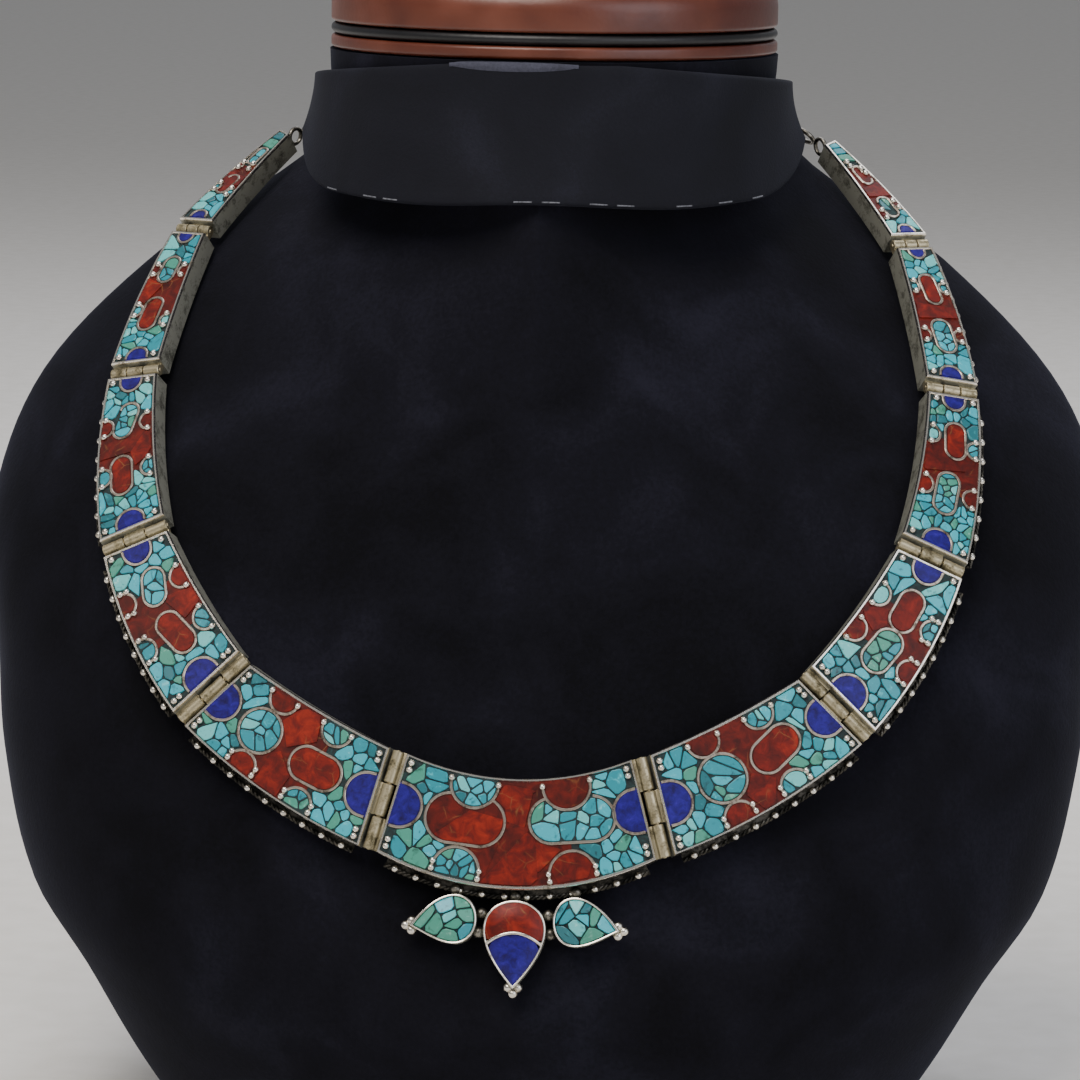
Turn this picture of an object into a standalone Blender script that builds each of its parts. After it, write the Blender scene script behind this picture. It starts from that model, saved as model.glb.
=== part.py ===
"""Hinged collar of eleven silver boxes with chip inlay, on its velvet neck stand.

X runs to the right of the front view, -Y towards the viewer and Z up. The origin lies under the middle of
the stand's flat base. Sizes are in millimetres and angles in degrees, and MM turns them to metres. The collar
and the stand are laid out from a datum under the centre box's hinge line, and hang from it as one group.
"""
import math
from collections import namedtuple

import bmesh
import bpy
from mathutils import Matrix, Vector

MM = 0.001
SEAT_GAP = 0.3

# Collar
COLLAR_HEIGHT = 78.0
COLLAR_LEAN = 16.0
CENTRE_LENGTH = 50.5
SIDE_LENGTH = 39.0
BAND_WIDTH = 19.4
BOX_DEPTH = 5.0
RIM_WIDTH = 0.8
RECESS_DEPTH = 1.5
INLAY_RISE = 0.15
EDGE_BOW = 6.4
ARC_STEPS = 8

# Each box: its length as a share of SIDE_LENGTH (the centre box has its own length), the angle between its
# two hinge lines, the fold at its near hinge, its far width as a share of BAND_WIDTH, and the bow of its
# inner and outer edges as shares of EDGE_BOW
Box = namedtuple("Box", "number length wedge fold far_width inner_bow outer_bow")
SIDE_BOXES = (
    Box(2, 1.02, 31, 9, 0.89, 0.11, 0.29),
    Box(3, 0.93, 22, 11, 0.72, 0.12, 0.27),
    Box(4, 1.00, 19, 13, 0.56, 0.16, 0.23),
    Box(5, 0.95, 14, 8, 0.42, 0.08, 0.16),
    Box(6, 0.82, 26, 8, 0.17, 0.08, 0.14),
)
CENTRE_BOX = Box(1, None, 31, 0, 1.0, 0.67, 1.0)

# The two large kidneys of stone in each box's inlay. The ends of a kidney are placed by their share of the way
# from the near to the far end (u) and from the outer to the inner rim (v), and its radius is a share of the
# box's width there
Pattern = namedtuple("Pattern", "near_kidney far_kidney")
Kidney = namedtuple("Kidney", "u_near v_near u_far v_far radius")
PATTERNS = {
    ("right", 1): Pattern(Kidney(0.23, 0.56, 0.35, 0.58, 0.24), Kidney(0.64, 0.61, 0.80, 0.57, 0.22)),
    ("right", 2): Pattern(Kidney(0.34, 0.50, 0.34, 0.50, 0.25), Kidney(0.60, 0.48, 0.71, 0.53, 0.18)),
    ("right", 3): Pattern(Kidney(0.32, 0.50, 0.44, 0.48, 0.18), Kidney(0.61, 0.49, 0.73, 0.49, 0.17)),
    ("right", 4): Pattern(Kidney(0.29, 0.52, 0.43, 0.51, 0.18), Kidney(0.65, 0.45, 0.76, 0.47, 0.18)),
    ("right", 5): Pattern(Kidney(0.27, 0.46, 0.39, 0.49, 0.21), Kidney(0.62, 0.46, 0.74, 0.50, 0.19)),
    ("right", 6): Pattern(Kidney(0.24, 0.50, 0.34, 0.50, 0.22), Kidney(0.58, 0.45, 0.68, 0.45, 0.24)),
    ("left", 2): Pattern(Kidney(0.29, 0.48, 0.40, 0.47, 0.18), Kidney(0.70, 0.49, 0.70, 0.49, 0.24)),
    ("left", 3): Pattern(Kidney(0.30, 0.55, 0.44, 0.49, 0.16), Kidney(0.65, 0.50, 0.74, 0.56, 0.16)),
    ("left", 4): Pattern(Kidney(0.30, 0.42, 0.42, 0.42, 0.18), Kidney(0.66, 0.43, 0.76, 0.53, 0.18)),
    ("left", 5): Pattern(Kidney(0.30, 0.46, 0.43, 0.48, 0.20), Kidney(0.66, 0.46, 0.75, 0.48, 0.20)),
    ("left", 6): Pattern(Kidney(0.34, 0.44, 0.44, 0.48, 0.22), Kidney(0.66, 0.50, 0.76, 0.50, 0.24)),
}
MOON_RADIUS = 0.22          # lapis half-moons at both ends, as a share of the box's width there
MOON_INSET = 0.15
MOON_POINTS = 6
KIDNEY_POINTS = 8
CLOISON_RISE = 0.25

# Hinges
HINGE_GAP = 3.2
PIN_DEPTH = 1.5
PIN_RADIUS = 0.5
PIN_CLEARANCE = 0.08
KNUCKLE_RADIUS = 1.15
KNUCKLE_CLEARANCE = 0.25
KNUCKLE_TAIL = 0.2          # top of a knuckle's tail over the pin's axis, as a share of its radius
KNUCKLE_STEPS = 6
PIN_SIDES = 8

# Granules soldered along the outer walls
GRANULE_RADIUS = 0.75
GRANULE_PITCH = 4.0
GRANULE_DEPTH = 3.3

# Pendant trio
BEZEL_WALL = 0.7
SETTING_DEPTH = 3.4
SETTING_SET_BACK = 1.2
SETTING_RECESS = 1.4
STONE_DOME = 0.9
PEAR_LENGTH = 16.6
PEAR_WIDTH = 11.8
PEAR_DROP = 18.0
PAISLEY_LENGTH = 12.6
PAISLEY_WIDTH = 9.4
PAISLEY_START = 7.1         # from the middle of the trio to a paisley's round end
PAISLEY_DROP = 21.8
PAISLEY_BEND = 1.4
TIP_INSET = 2.6             # how far a drawn-in drop's tip moves back, in insets
WIDEST_SHARE = 0.77         # the drop curve's widest half width for a half width of 1
TIP_GRANULE_RADIUS = 0.95
TIP_GRANULE_PITCH = 1.8
TIP_GRANULE_SHARES = ((-0.5, 0.2), (0.5, 0.2), (0.0, -0.42))
LINK_GRANULE_RADIUS = 1.3

LINK_GRANULE_DEPTH = 3.0

# Granules that join the settings to the centre box and to each other: from which level, how far across the trio
# in pear widths, and how far down from that level in granule radii
LINK_GRANULES = (
    ("pear", 0.0, -0.6),
    ("paisley_top", -0.95, -0.7), ("paisley_top", 0.95, -0.7),
    ("paisley", -0.53, -0.9), ("paisley", 0.53, -0.9),
    ("paisley", -0.57, 1.8), ("paisley", 0.57, 1.8),
)

# Back chain and its ring clasp
END_EYE_RADIUS = 1.6
END_EYE_WIRE = 0.45
LINK_LENGTH = 8.0
LINK_WIDTH = 5.0
LINK_WIRE = 0.5
LINK_OVERLAP = 0.12
LINK_TWIST = 45             # each link stands this far over, one to each side
CHAIN_STEPS = 160
CHAIN_STAND_OFF = 2.9
CHAIN_BACK_DROP = 13.7      # from the neck's top down to the chain at the back
END_CLEARANCE = 0.6
CLASP_LENGTH = 14.0
CLASP_WIDTH = 7.0
CLASP_WIRE = 0.8
CLASP_PLAY = 0.3

# Stand
COLLAR_FORWARD = 65.0       # from the middle of the base to the centre box's hinge line
STAND_CLEARANCE = 0.9
STAND_HALF_WIDTH = 109.0
STAND_BACK = 138.0          # from the centre box's hinge line to the stand's back
NECK_RADIUS = 45.0
NECK_BACK = 130.0
NECK_START = 6.0            # from the collar's end up to where the neck is round
NECK_LENGTH = 12.7
RING_POINTS = 36
RING_SPACING = 12.0
CAP_SIDES = 32
CAP_OVERHANG = -0.2         # the cap's radius over the neck's
CAP_RIM_HEIGHT = 2.6
CAP_RIM_ROUNDING = 0.8
PIPING_HEIGHT = 2.0
CAP_CROWN_HEIGHT = 11.0
CAP_CROWN_ROUNDING = 7.0
FLAP_THICKNESS = 1.8
FLAP_HEIGHT = 27.4
FLAP_STAND_OFF = 1.4
FLAP_FLARE = 2.6
FLAP_HALF_TURN = 88         # degrees round the neck from the front to either end
FLAP_CORNER_START = 0.62    # where the strap's rounded corners start, as a share of its half length
FLAP_SEGMENTS = (20, 4)


def clear_scene():
    for item in list(bpy.data.objects):
        bpy.data.objects.remove(item)


def collection(name):
    found = bpy.data.collections.new(name)
    bpy.context.scene.collection.children.link(found)
    return found


def material(name, colour, roughness, metallic=0.0):
    made = bpy.data.materials.new(name)
    made.use_nodes = True
    shader = made.node_tree.nodes["Principled BSDF"]
    shader.inputs["Base Color"].default_value = (*colour, 1.0)
    shader.inputs["Roughness"].default_value = roughness
    shader.inputs["Metallic"].default_value = metallic
    return made


clear_scene()
PARTS = collection("inlay_collar_on_stand")
TOOLS = collection("cutting_and_joining_shapes")
DATUM = bpy.data.objects.new("collar_datum", None)
DATUM.location = (0, -COLLAR_FORWARD * MM, 0)
TOOLS.objects.link(DATUM)
SILVER = material("aged_silver", (0.62, 0.60, 0.55), 0.35, 1.0)
STEEL_PIN = material("silver_pin", (0.50, 0.49, 0.46), 0.30, 1.0)
INLAY = material("chip_inlay", (0.08, 0.42, 0.46), 0.45)
CORAL = material("coral", (0.40, 0.04, 0.02), 0.40)
LAPIS = material("lapis", (0.03, 0.02, 0.28), 0.35)
TURQUOISE = material("turquoise", (0.12, 0.50, 0.52), 0.40)
VELVET = material("black_velvet", (0.012, 0.012, 0.016), 0.95)
FLAP_CLOTH = material("black_cloth", (0.015, 0.015, 0.02), 0.85)
LEATHER = material("brown_leather", (0.16, 0.05, 0.03), 0.45)
PIPING = material("black_piping", (0.01, 0.01, 0.01), 0.60)


# Meshes

def object_from(bm, name, surface, placed=Matrix.Identity(4), smooth_angle=35):
    """Turn a bmesh in millimetres into a placed object in metres."""
    bmesh.ops.recalc_face_normals(bm, faces=bm.faces)
    bmesh.ops.scale(bm, vec=(MM, MM, MM), verts=bm.verts)
    mesh = bpy.data.meshes.new(name)
    bm.to_mesh(mesh)
    bm.free()
    mesh.materials.append(surface)
    mesh.shade_smooth()
    mesh.set_sharp_from_angle(angle=math.radians(smooth_angle))
    made = bpy.data.objects.new(name, mesh)
    PARTS.objects.link(made)
    made.parent = DATUM
    made.location = placed.to_translation() * MM
    made.rotation_euler = placed.to_euler()
    return made


def as_tool(made):
    PARTS.objects.unlink(made)
    TOOLS.objects.link(made)
    made.hide_render = True
    made.display_type = "WIRE"
    return made


def boolean(made, tool, operation):
    step = made.modifiers.new(operation.lower(), "BOOLEAN")
    step.operation = operation
    step.solver = "EXACT"
    step.object = as_tool(tool)


def add_prism(bm, outline, low, high, placed=Matrix.Identity(4)):
    """A flat outline in the frame's x and y, extruded from low to high along its z."""
    base = bm.faces.new([bm.verts.new(placed @ Vector((x, y, low))) for x, y in outline])
    extruded = bmesh.ops.extrude_face_region(bm, geom=[base])["geom"]
    top = [item for item in extruded if isinstance(item, bmesh.types.BMVert)]
    upwards = placed.to_3x3() @ Vector((0, 0, high - low))
    bmesh.ops.translate(bm, verts=top, vec=upwards)


def add_mesh(bm, mesh, placed):
    known = len(bm.verts)
    bm.from_mesh(mesh)
    bm.verts.ensure_lookup_table()
    bmesh.ops.transform(bm, matrix=placed, verts=bm.verts[known:])


def add_ball(bm, centre, radius, around=8, rings=4):
    bmesh.ops.create_uvsphere(bm, u_segments=around, v_segments=rings, radius=radius,
                              matrix=Matrix.Translation(centre))


def add_loft(bm, rings):
    """Closed rings of equal length, joined in order and capped at both ends."""
    rows = [[bm.verts.new(point) for point in ring] for ring in rings]
    for row, after in zip(rows, rows[1:]):
        for index, vertex in enumerate(row):
            following = (index + 1) % len(row)
            bm.faces.new((vertex, row[following], after[following], after[index]))
    bm.faces.new(reversed(rows[0]))
    bm.faces.new(rows[-1])


# Box outlines, in each box's own frame: x along its chord from the near to the far hinge, y towards the neck

def arc(start, end, rise, steps):
    """Points from start to end on a circle that stands rise clear of the chord, on its right-hand side."""
    start, end = Vector(start), Vector(end)
    chord = end - start
    half = chord.length / 2
    side = Vector((chord.y, -chord.x)).normalized()
    radius = (half * half + rise * rise) / (2 * rise)
    centre = start + chord / 2 - side * (radius - rise)
    sweep = math.asin(half / radius)
    points = []
    for step in range(steps + 1):
        angle = sweep * (2 * step / steps - 1)
        offset = side * (radius * math.cos(angle)) + chord.normalized() * (radius * math.sin(angle))
        points.append(tuple(centre + offset))
    return points


def box_length(box):
    return CENTRE_LENGTH if box.number == 1 else SIDE_LENGTH * box.length


def near_width(box):
    if box.number <= 2:
        return BAND_WIDTH
    return BAND_WIDTH * SIDE_BOXES[box.number - 3].far_width


def box_corner(box, far, inner, inset):
    """One corner of a box, drawn in from its edges by inset."""
    half_wedge = math.radians(box.wedge / 2)
    end = 1 if far else -1
    width = BAND_WIDTH * box.far_width if far else near_width(box)
    towards_neck = Vector((-end * math.sin(half_wedge), math.cos(half_wedge)))
    into_box = Vector((-end * math.cos(half_wedge), -math.sin(half_wedge)))
    hinge = Vector((end * box_length(box) / 2, 0.0))
    reach = (width / 2 - inset) * (1 if inner else -1)
    return hinge + into_box * (HINGE_GAP / 2 + inset) + towards_neck * reach


def long_edge(box, inner, inset):
    """The inner or outer edge of a box, from its near to its far end."""
    near = box_corner(box, False, inner, inset)
    far = box_corner(box, True, inner, inset)
    full = (box_corner(box, True, inner, 0) - box_corner(box, False, inner, 0)).length
    bow = EDGE_BOW * (box.inner_bow if inner else box.outer_bow)
    return arc(near, far, bow * ((far - near).length / full) ** 2, ARC_STEPS)


def box_outline(box, side, inset=0.0):
    """Both edges of a box; side is 1 for the right of the collar and -1 for its mirrored left."""
    outline = long_edge(box, True, inset) + long_edge(box, False, inset)[::-1]
    return [(side * x, y) for x, y in outline]


def place_in_box(box, u, v):
    """A place in a box by its shares: u from the near to the far end, v from the outer to the inner rim."""
    near = box_corner(box, False, False, 0).lerp(box_corner(box, False, True, 0), v)
    far = box_corner(box, True, False, 0).lerp(box_corner(box, True, True, 0), v)
    bow = EDGE_BOW * (box.outer_bow + (box.inner_bow - box.outer_bow) * v)
    return near.lerp(far, u) - Vector((0, bow * 4 * u * (1 - u)))


def width_at(box, u):
    return near_width(box) + (BAND_WIDTH * box.far_width - near_width(box)) * u


# Frames: every box and hinge has x along the band, y towards the neck and z out of its face

def turned(angle, axis):
    return Matrix.Rotation(math.radians(angle), 4, axis)


def collar_frames():
    """Frames of the right half: box frames by number, and the hinge frames before their folds."""
    boxes = {1: Matrix.Translation((0, 0, COLLAR_HEIGHT)) @ turned(90 - COLLAR_LEAN, "X")}
    hinges = {}
    box = CENTRE_BOX
    for after in SIDE_BOXES:
        to_pin = Matrix.Translation((box_length(box) / 2, 0, -PIN_DEPTH))
        hinge = boxes[box.number] @ to_pin @ turned(box.wedge / 2, "Z")
        hinges[box.number] = hinge
        to_middle = Matrix.Translation((box_length(after) / 2, 0, PIN_DEPTH))
        boxes[after.number] = hinge @ turned(after.fold, "Y") @ turned(after.wedge / 2, "Z") @ to_middle
        box = after
    to_end = Matrix.Translation((box_length(box) / 2, 0, -PIN_DEPTH))
    hinges[box.number] = boxes[box.number] @ to_end @ turned(box.wedge / 2, "Z")
    return boxes, hinges


SIDE_NAMES = {1: "right", -1: "left"}
MIRROR = Matrix.Diagonal((-1, 1, 1, 1))
BOX_FRAMES, HINGE_FRAMES = collar_frames()
NECK_CENTRE = NECK_BACK - NECK_RADIUS
NECK_TOP = HINGE_FRAMES[len(SIDE_BOXES) + 1].translation.z + NECK_START + NECK_LENGTH


def on_side(frame, side):
    """The same frame for the left half, still a plain rotation: its x runs back to the middle."""
    return frame if side > 0 else MIRROR @ frame @ MIRROR


# Boxes

def knuckle_spans(width):
    """Start and end of the three knuckles along a hinge line."""
    third = width / 3
    half_gap = KNUCKLE_CLEARANCE / 2
    return [(-width / 2 + third * k + half_gap, -width / 2 + third * (k + 1) - half_gap) for k in range(3)]


def add_knuckle(bm, placed, start, end, towards):
    """A rolled knuckle along y, with its tail reaching the box that lies on the towards side in x."""
    reach = HINGE_GAP / 2 + RIM_WIDTH / 2
    tail_top = KNUCKLE_RADIUS * KNUCKLE_TAIL
    first = math.asin(KNUCKLE_TAIL)
    sweep = 1.5 * math.pi - first
    profile = [(towards * reach, tail_top)]
    for step in range(KNUCKLE_STEPS + 1):
        angle = first + sweep * step / KNUCKLE_STEPS
        profile.append((towards * KNUCKLE_RADIUS * math.cos(angle), KNUCKLE_RADIUS * math.sin(angle)))
    profile.append((towards * reach, -KNUCKLE_RADIUS))
    add_prism(bm, profile, -end, -start, placed @ turned(90, "X"))


def hinge_in_box(box, far):
    """A hinge's frame as its box sees it."""
    end = 1 if far else -1
    at_pin = Matrix.Translation((end * box_length(box) / 2, 0, -PIN_DEPTH))
    return at_pin @ turned(end * box.wedge / 2, "Z")


def hinged_ends(box):
    """Which ends of a box have a hinge: False is the near one and True the far one."""
    return (False,) if box is SIDE_BOXES[-1] else (False, True)


def add_box_knuckles(bm, box, side):
    """Boxes of odd number carry the outer two knuckles at each hinge, and even ones the middle knuckle."""
    own = (0, 2) if box.number % 2 == 1 else (1,)
    for far in hinged_ends(box):
        spans = knuckle_spans(width_at(box, far))
        for index in own:
            add_knuckle(bm, hinge_in_box(box, far), *spans[index], -1 if far else 1)
    if side < 0:
        bmesh.ops.transform(bm, matrix=MIRROR, verts=bm.verts)


def bore_cutter(box, side, name, placed):
    """Pin holes through the knuckles at both ends of a box."""
    bm = bmesh.new()
    apothem = math.cos(math.pi / PIN_SIDES)
    radius = (PIN_RADIUS + PIN_CLEARANCE) / apothem
    for far in hinged_ends(box):
        frame = hinge_in_box(box, far) @ turned(90, "X")
        bmesh.ops.create_cone(bm, cap_ends=True, segments=PIN_SIDES, radius1=radius, radius2=radius,
                              depth=width_at(box, far) + HINGE_GAP, matrix=frame)
    if side < 0:
        bmesh.ops.transform(bm, matrix=MIRROR, verts=bm.verts)
    return object_from(bm, name, SILVER, placed)


def granule_places(box, side):
    """Places along the outer wall, at an even pitch near GRANULE_PITCH."""
    wall = long_edge(box, False, 0.0)
    lengths = [0.0]
    for one, two in zip(wall, wall[1:]):
        lengths.append(lengths[-1] + (Vector(two) - Vector(one)).length)
    count = int(lengths[-1] / GRANULE_PITCH)
    places = []
    for index in range(count):
        along = lengths[-1] * (index + 0.5) / count
        step = max(k for k, value in enumerate(lengths[:-1]) if value <= along)
        share = (along - lengths[step]) / (lengths[step + 1] - lengths[step])
        point = Vector(wall[step]).lerp(Vector(wall[step + 1]), share)
        places.append(Vector((side * point.x, point.y, -GRANULE_DEPTH)))
    return places


def wire_ring(length, width, wire, around=8, sides=5):
    """A closed wire with round ends: a torus whose two halves are drawn apart along x. Sizes are outer ones."""
    bpy.ops.mesh.primitive_torus_add(major_segments=around, minor_segments=sides,
                                     major_radius=width / 2 - wire, minor_radius=wire)
    ring = bpy.context.object
    mesh = ring.data
    bpy.data.objects.remove(ring)
    mesh.transform(turned(180 / around, "Z"))
    for vertex in mesh.vertices:
        vertex.co.x += math.copysign((length - width) / 2, vertex.co.x)
    return mesh


def add_end_eye(bm, side):
    """The eye soldered to the narrow end of the last box."""
    box = SIDE_BOXES[-1]
    outer = 2 * (END_EYE_RADIUS + END_EYE_WIRE)
    middle = Vector((side * (box_length(box) / 2 - HINGE_GAP / 2 + END_EYE_RADIUS), 0, -BOX_DEPTH / 2))
    add_mesh(bm, wire_ring(outer, outer, END_EYE_WIRE), Matrix.Translation(middle) @ turned(90, "X"))


def make_tray(box, side, name):
    placed = on_side(BOX_FRAMES[box.number], side)
    bm = bmesh.new()
    add_prism(bm, box_outline(box, side), -BOX_DEPTH, 0.0)
    tray = object_from(bm, name, SILVER, placed)
    hollow = bmesh.new()
    add_prism(hollow, box_outline(box, side, RIM_WIDTH), -RECESS_DEPTH, RECESS_DEPTH)
    boolean(tray, object_from(hollow, name + "_recess", SILVER, placed), "DIFFERENCE")
    knuckles = bmesh.new()
    add_box_knuckles(knuckles, box, side)
    boolean(tray, object_from(knuckles, name + "_knuckles", SILVER, placed), "UNION")
    boolean(tray, bore_cutter(box, side, name + "_bores", placed), "DIFFERENCE")
    granules = bmesh.new()
    for place in granule_places(box, side):
        add_ball(granules, place, GRANULE_RADIUS, around=6, rings=3)
    boolean(tray, object_from(granules, name + "_granules", SILVER, placed), "UNION")
    if box.number == 6:
        eye = bmesh.new()
        add_end_eye(eye, side)
        boolean(tray, object_from(eye, name + "_eye", SILVER, placed), "UNION")
    return tray


def kidney_outline(box, kidney, side):
    """A kidney of stone: two round ends of one radius joined by straight sides."""
    near = place_in_box(box, kidney.u_near, kidney.v_near)
    far = place_in_box(box, kidney.u_far, kidney.v_far)
    radius = kidney.radius * width_at(box, (kidney.u_near + kidney.u_far) / 2)
    first = math.atan2(far.y - near.y, far.x - near.x) - math.pi / 2
    outline = []
    for k in range(KIDNEY_POINTS):
        angle = first + 2 * math.pi * (k + 0.5) / KIDNEY_POINTS
        end = far if k < KIDNEY_POINTS / 2 else near
        outline.append((side * (end.x + radius * math.cos(angle)), end.y + radius * math.sin(angle)))
    return outline


def moon_outline(box, far, side):
    """A half-moon standing on the rim at one end of a box."""
    radius = MOON_RADIUS * width_at(box, far)
    inset = RIM_WIDTH + SEAT_GAP + MOON_INSET
    low = box_corner(box, far, False, inset)
    along = (box_corner(box, far, True, inset) - low).normalized()
    inwards = Vector((along.y, -along.x)) if not far else Vector((-along.y, along.x))
    middle = low.lerp(box_corner(box, far, True, inset), 0.5)
    outline = []
    for k in range(MOON_POINTS):
        angle = math.pi * k / (MOON_POINTS - 1)
        point = middle + along * (radius * math.cos(angle)) + inwards * (radius * math.sin(angle))
        outline.append((side * point.x, point.y))
    return outline


def make_inlay(box, side, name):
    """The field of chips in its grout, a little proud of the rim, with its larger stones raised over it."""
    placed = on_side(BOX_FRAMES[box.number], side)
    bm = bmesh.new()
    low = -RECESS_DEPTH + SEAT_GAP
    add_prism(bm, box_outline(box, side, RIM_WIDTH + SEAT_GAP), low, INLAY_RISE)
    inlay = object_from(bm, name, INLAY, placed)
    raised = bmesh.new()
    pattern = PATTERNS[(SIDE_NAMES[side], box.number)]
    for kidney in pattern:
        add_prism(raised, kidney_outline(box, kidney, side), low / 2, INLAY_RISE + CLOISON_RISE)
    for far in hinged_ends(box):
        add_prism(raised, moon_outline(box, far, side), low / 2, INLAY_RISE + CLOISON_RISE)
    boolean(inlay, object_from(raised, name + "_raised_stones", INLAY, placed), "UNION")
    return inlay


# Pendant trio, in the centre box's frame

def drop_outline(length, width, bend=0.0, inset=0.0, points=16):
    """A drop with its round end at the origin and its tip at -y, drawn in by inset."""
    long = length - TIP_INSET * inset
    half = (width / 2 - inset) / WIDEST_SHARE
    outline = []
    for k in range(points):
        turn = 2 * math.pi * k / points
        along = (1 - math.cos(turn)) / 2
        across = half * math.sin(turn) * abs(math.cos(turn / 2))
        outline.append((across + bend * along ** 4, -inset - long * along))
    return outline


Drop = namedtuple("Drop", "name length width bend x y turn")
PEAR = Drop("pear", PEAR_LENGTH, PEAR_WIDTH, 0.0, 0.0, -PEAR_DROP, 0)
PAISLEY_RIGHT = Drop("paisley_right", PAISLEY_LENGTH, PAISLEY_WIDTH, -PAISLEY_BEND,
                     PAISLEY_START, -PAISLEY_DROP, 90)
PAISLEY_LEFT = Drop("paisley_left", PAISLEY_LENGTH, PAISLEY_WIDTH, PAISLEY_BEND,
                    -PAISLEY_START, -PAISLEY_DROP, -90)


def drop_shape(drop, inset):
    placed = Matrix.Translation((drop.x, drop.y, 0)) @ turned(drop.turn, "Z")
    outline = drop_outline(drop.length, drop.width, drop.bend, inset)
    return [tuple((placed @ Vector((x, y, 0))).xy) for x, y in outline]


def tip_granules(drop):
    """Three granules soldered round a drop's tip."""
    placed = Matrix.Translation((drop.x, drop.y, 0)) @ turned(drop.turn, "Z")
    tip = Vector((drop.bend, -drop.length, -SETTING_SET_BACK - SETTING_DEPTH / 2))
    places = []
    for across, down in TIP_GRANULE_SHARES:
        places.append(placed @ (tip + Vector((across, down, 0)) * TIP_GRANULE_PITCH))
    return places


def link_granules():
    levels = {"pear": PEAR_DROP, "paisley_top": PAISLEY_DROP - PAISLEY_WIDTH / 2, "paisley": PAISLEY_DROP}
    places = []
    for level, across, down in LINK_GRANULES:
        y = -levels[level] - down * LINK_GRANULE_RADIUS
        places.append(Vector((across * PEAR_WIDTH, y, -LINK_GRANULE_DEPTH)))
    return places


def add_pendant_settings(tray):
    low = -SETTING_SET_BACK - SETTING_DEPTH
    placed = BOX_FRAMES[1]
    granules = bmesh.new()
    for place in link_granules():
        add_ball(granules, place, LINK_GRANULE_RADIUS)
    boolean(tray, object_from(granules, "link_granules", SILVER, placed), "UNION")
    for drop in (PEAR, PAISLEY_RIGHT, PAISLEY_LEFT):
        setting = bmesh.new()
        add_prism(setting, drop_shape(drop, 0.0), low, -SETTING_SET_BACK)
        boolean(tray, object_from(setting, drop.name + "_setting", SILVER, placed), "UNION")
        hollow = bmesh.new()
        add_prism(hollow, drop_shape(drop, BEZEL_WALL), -SETTING_SET_BACK - SETTING_RECESS, 0.0)
        boolean(tray, object_from(hollow, drop.name + "_seat", SILVER, placed), "DIFFERENCE")
        for index, place in enumerate(tip_granules(drop)):
            tip = bmesh.new()
            add_ball(tip, place, TIP_GRANULE_RADIUS)
            boolean(tray, object_from(tip, f"{drop.name}_tip_granule_{index + 1}", SILVER, placed), "UNION")


def add_domed_stone(bm, outline, low, edge_height, rise):
    """A flat-bottomed stone: its outline, then two smaller rings that round it over the top."""
    middle = sum((Vector(point) for point in outline), Vector((0, 0))) / len(outline)
    rings = []
    levels = ((1, low), (1, edge_height), (0.8, edge_height + 0.7 * rise), (0.42, edge_height + rise))
    for share, height in levels:
        rings.append([(*(middle + (Vector(point) - middle) * share), height) for point in outline])
    add_loft(bm, rings)


def make_drop_stones(placed):
    low = -SETTING_SET_BACK - SETTING_RECESS + SEAT_GAP
    edge_height = -SETTING_SET_BACK
    inset = BEZEL_WALL + SEAT_GAP
    for drop in (PAISLEY_RIGHT, PAISLEY_LEFT):
        bm = bmesh.new()
        add_domed_stone(bm, drop_shape(drop, inset), low, edge_height, STONE_DOME)
        object_from(bm, "turquoise_" + drop.name, TURQUOISE, placed)
    outline = drop_shape(PEAR, inset)
    parting = -PEAR_DROP - PEAR_LENGTH * 0.48
    upper = clipped(outline, parting + SEAT_GAP / 2, above=True)
    lower = clipped(outline, parting - SEAT_GAP / 2, above=False)
    for name, half, surface in (("coral_pear_top", upper, CORAL), ("lapis_pear_tip", lower, LAPIS)):
        bm = bmesh.new()
        add_domed_stone(bm, half, low, edge_height, STONE_DOME)
        object_from(bm, name, surface, placed)


def clipped(outline, level, above):
    """The part of an outline above or below a level in y."""
    kept = []
    for one, two in zip(outline, outline[1:] + outline[:1]):
        inside_one = (one[1] > level) == above
        inside_two = (two[1] > level) == above
        if inside_one:
            kept.append(one)
        if inside_one != inside_two:
            share = (level - one[1]) / (two[1] - one[1])
            kept.append((one[0] + (two[0] - one[0]) * share, level))
    return kept


def make_pin(number, side, name):
    width = BAND_WIDTH * (1.0 if number == 1 else SIDE_BOXES[number - 2].far_width)
    bm = bmesh.new()
    bmesh.ops.create_cone(bm, cap_ends=True, segments=PIN_SIDES, radius1=PIN_RADIUS, radius2=PIN_RADIUS,
                          depth=width, matrix=turned(90, "X"))
    return object_from(bm, name, STEEL_PIN, on_side(HINGE_FRAMES[number], side))


def make_collar():
    centre = make_tray(CENTRE_BOX, 1, "tray_centre")
    add_pendant_settings(centre)
    make_drop_stones(BOX_FRAMES[1])
    make_inlay(CENTRE_BOX, 1, "inlay_centre")
    for side, word in SIDE_NAMES.items():
        for box in SIDE_BOXES:
            make_tray(box, side, f"tray_{word}_{box.number}")
            make_inlay(box, side, f"inlay_{word}_{box.number}")
            make_pin(box.number - 1, side, f"pin_{word}_{box.number - 1}")


# Stand

Section = namedtuple("Section", "height half_width front back middle squareness")


def chest_front(height):
    """How far forward the chest may come: just behind the plane of the centre box's back."""
    lean = math.radians(COLLAR_LEAN)
    return (height - COLLAR_HEIGHT) * math.tan(lean) + (BOX_DEPTH + STAND_CLEARANCE) / math.cos(lean)


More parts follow.
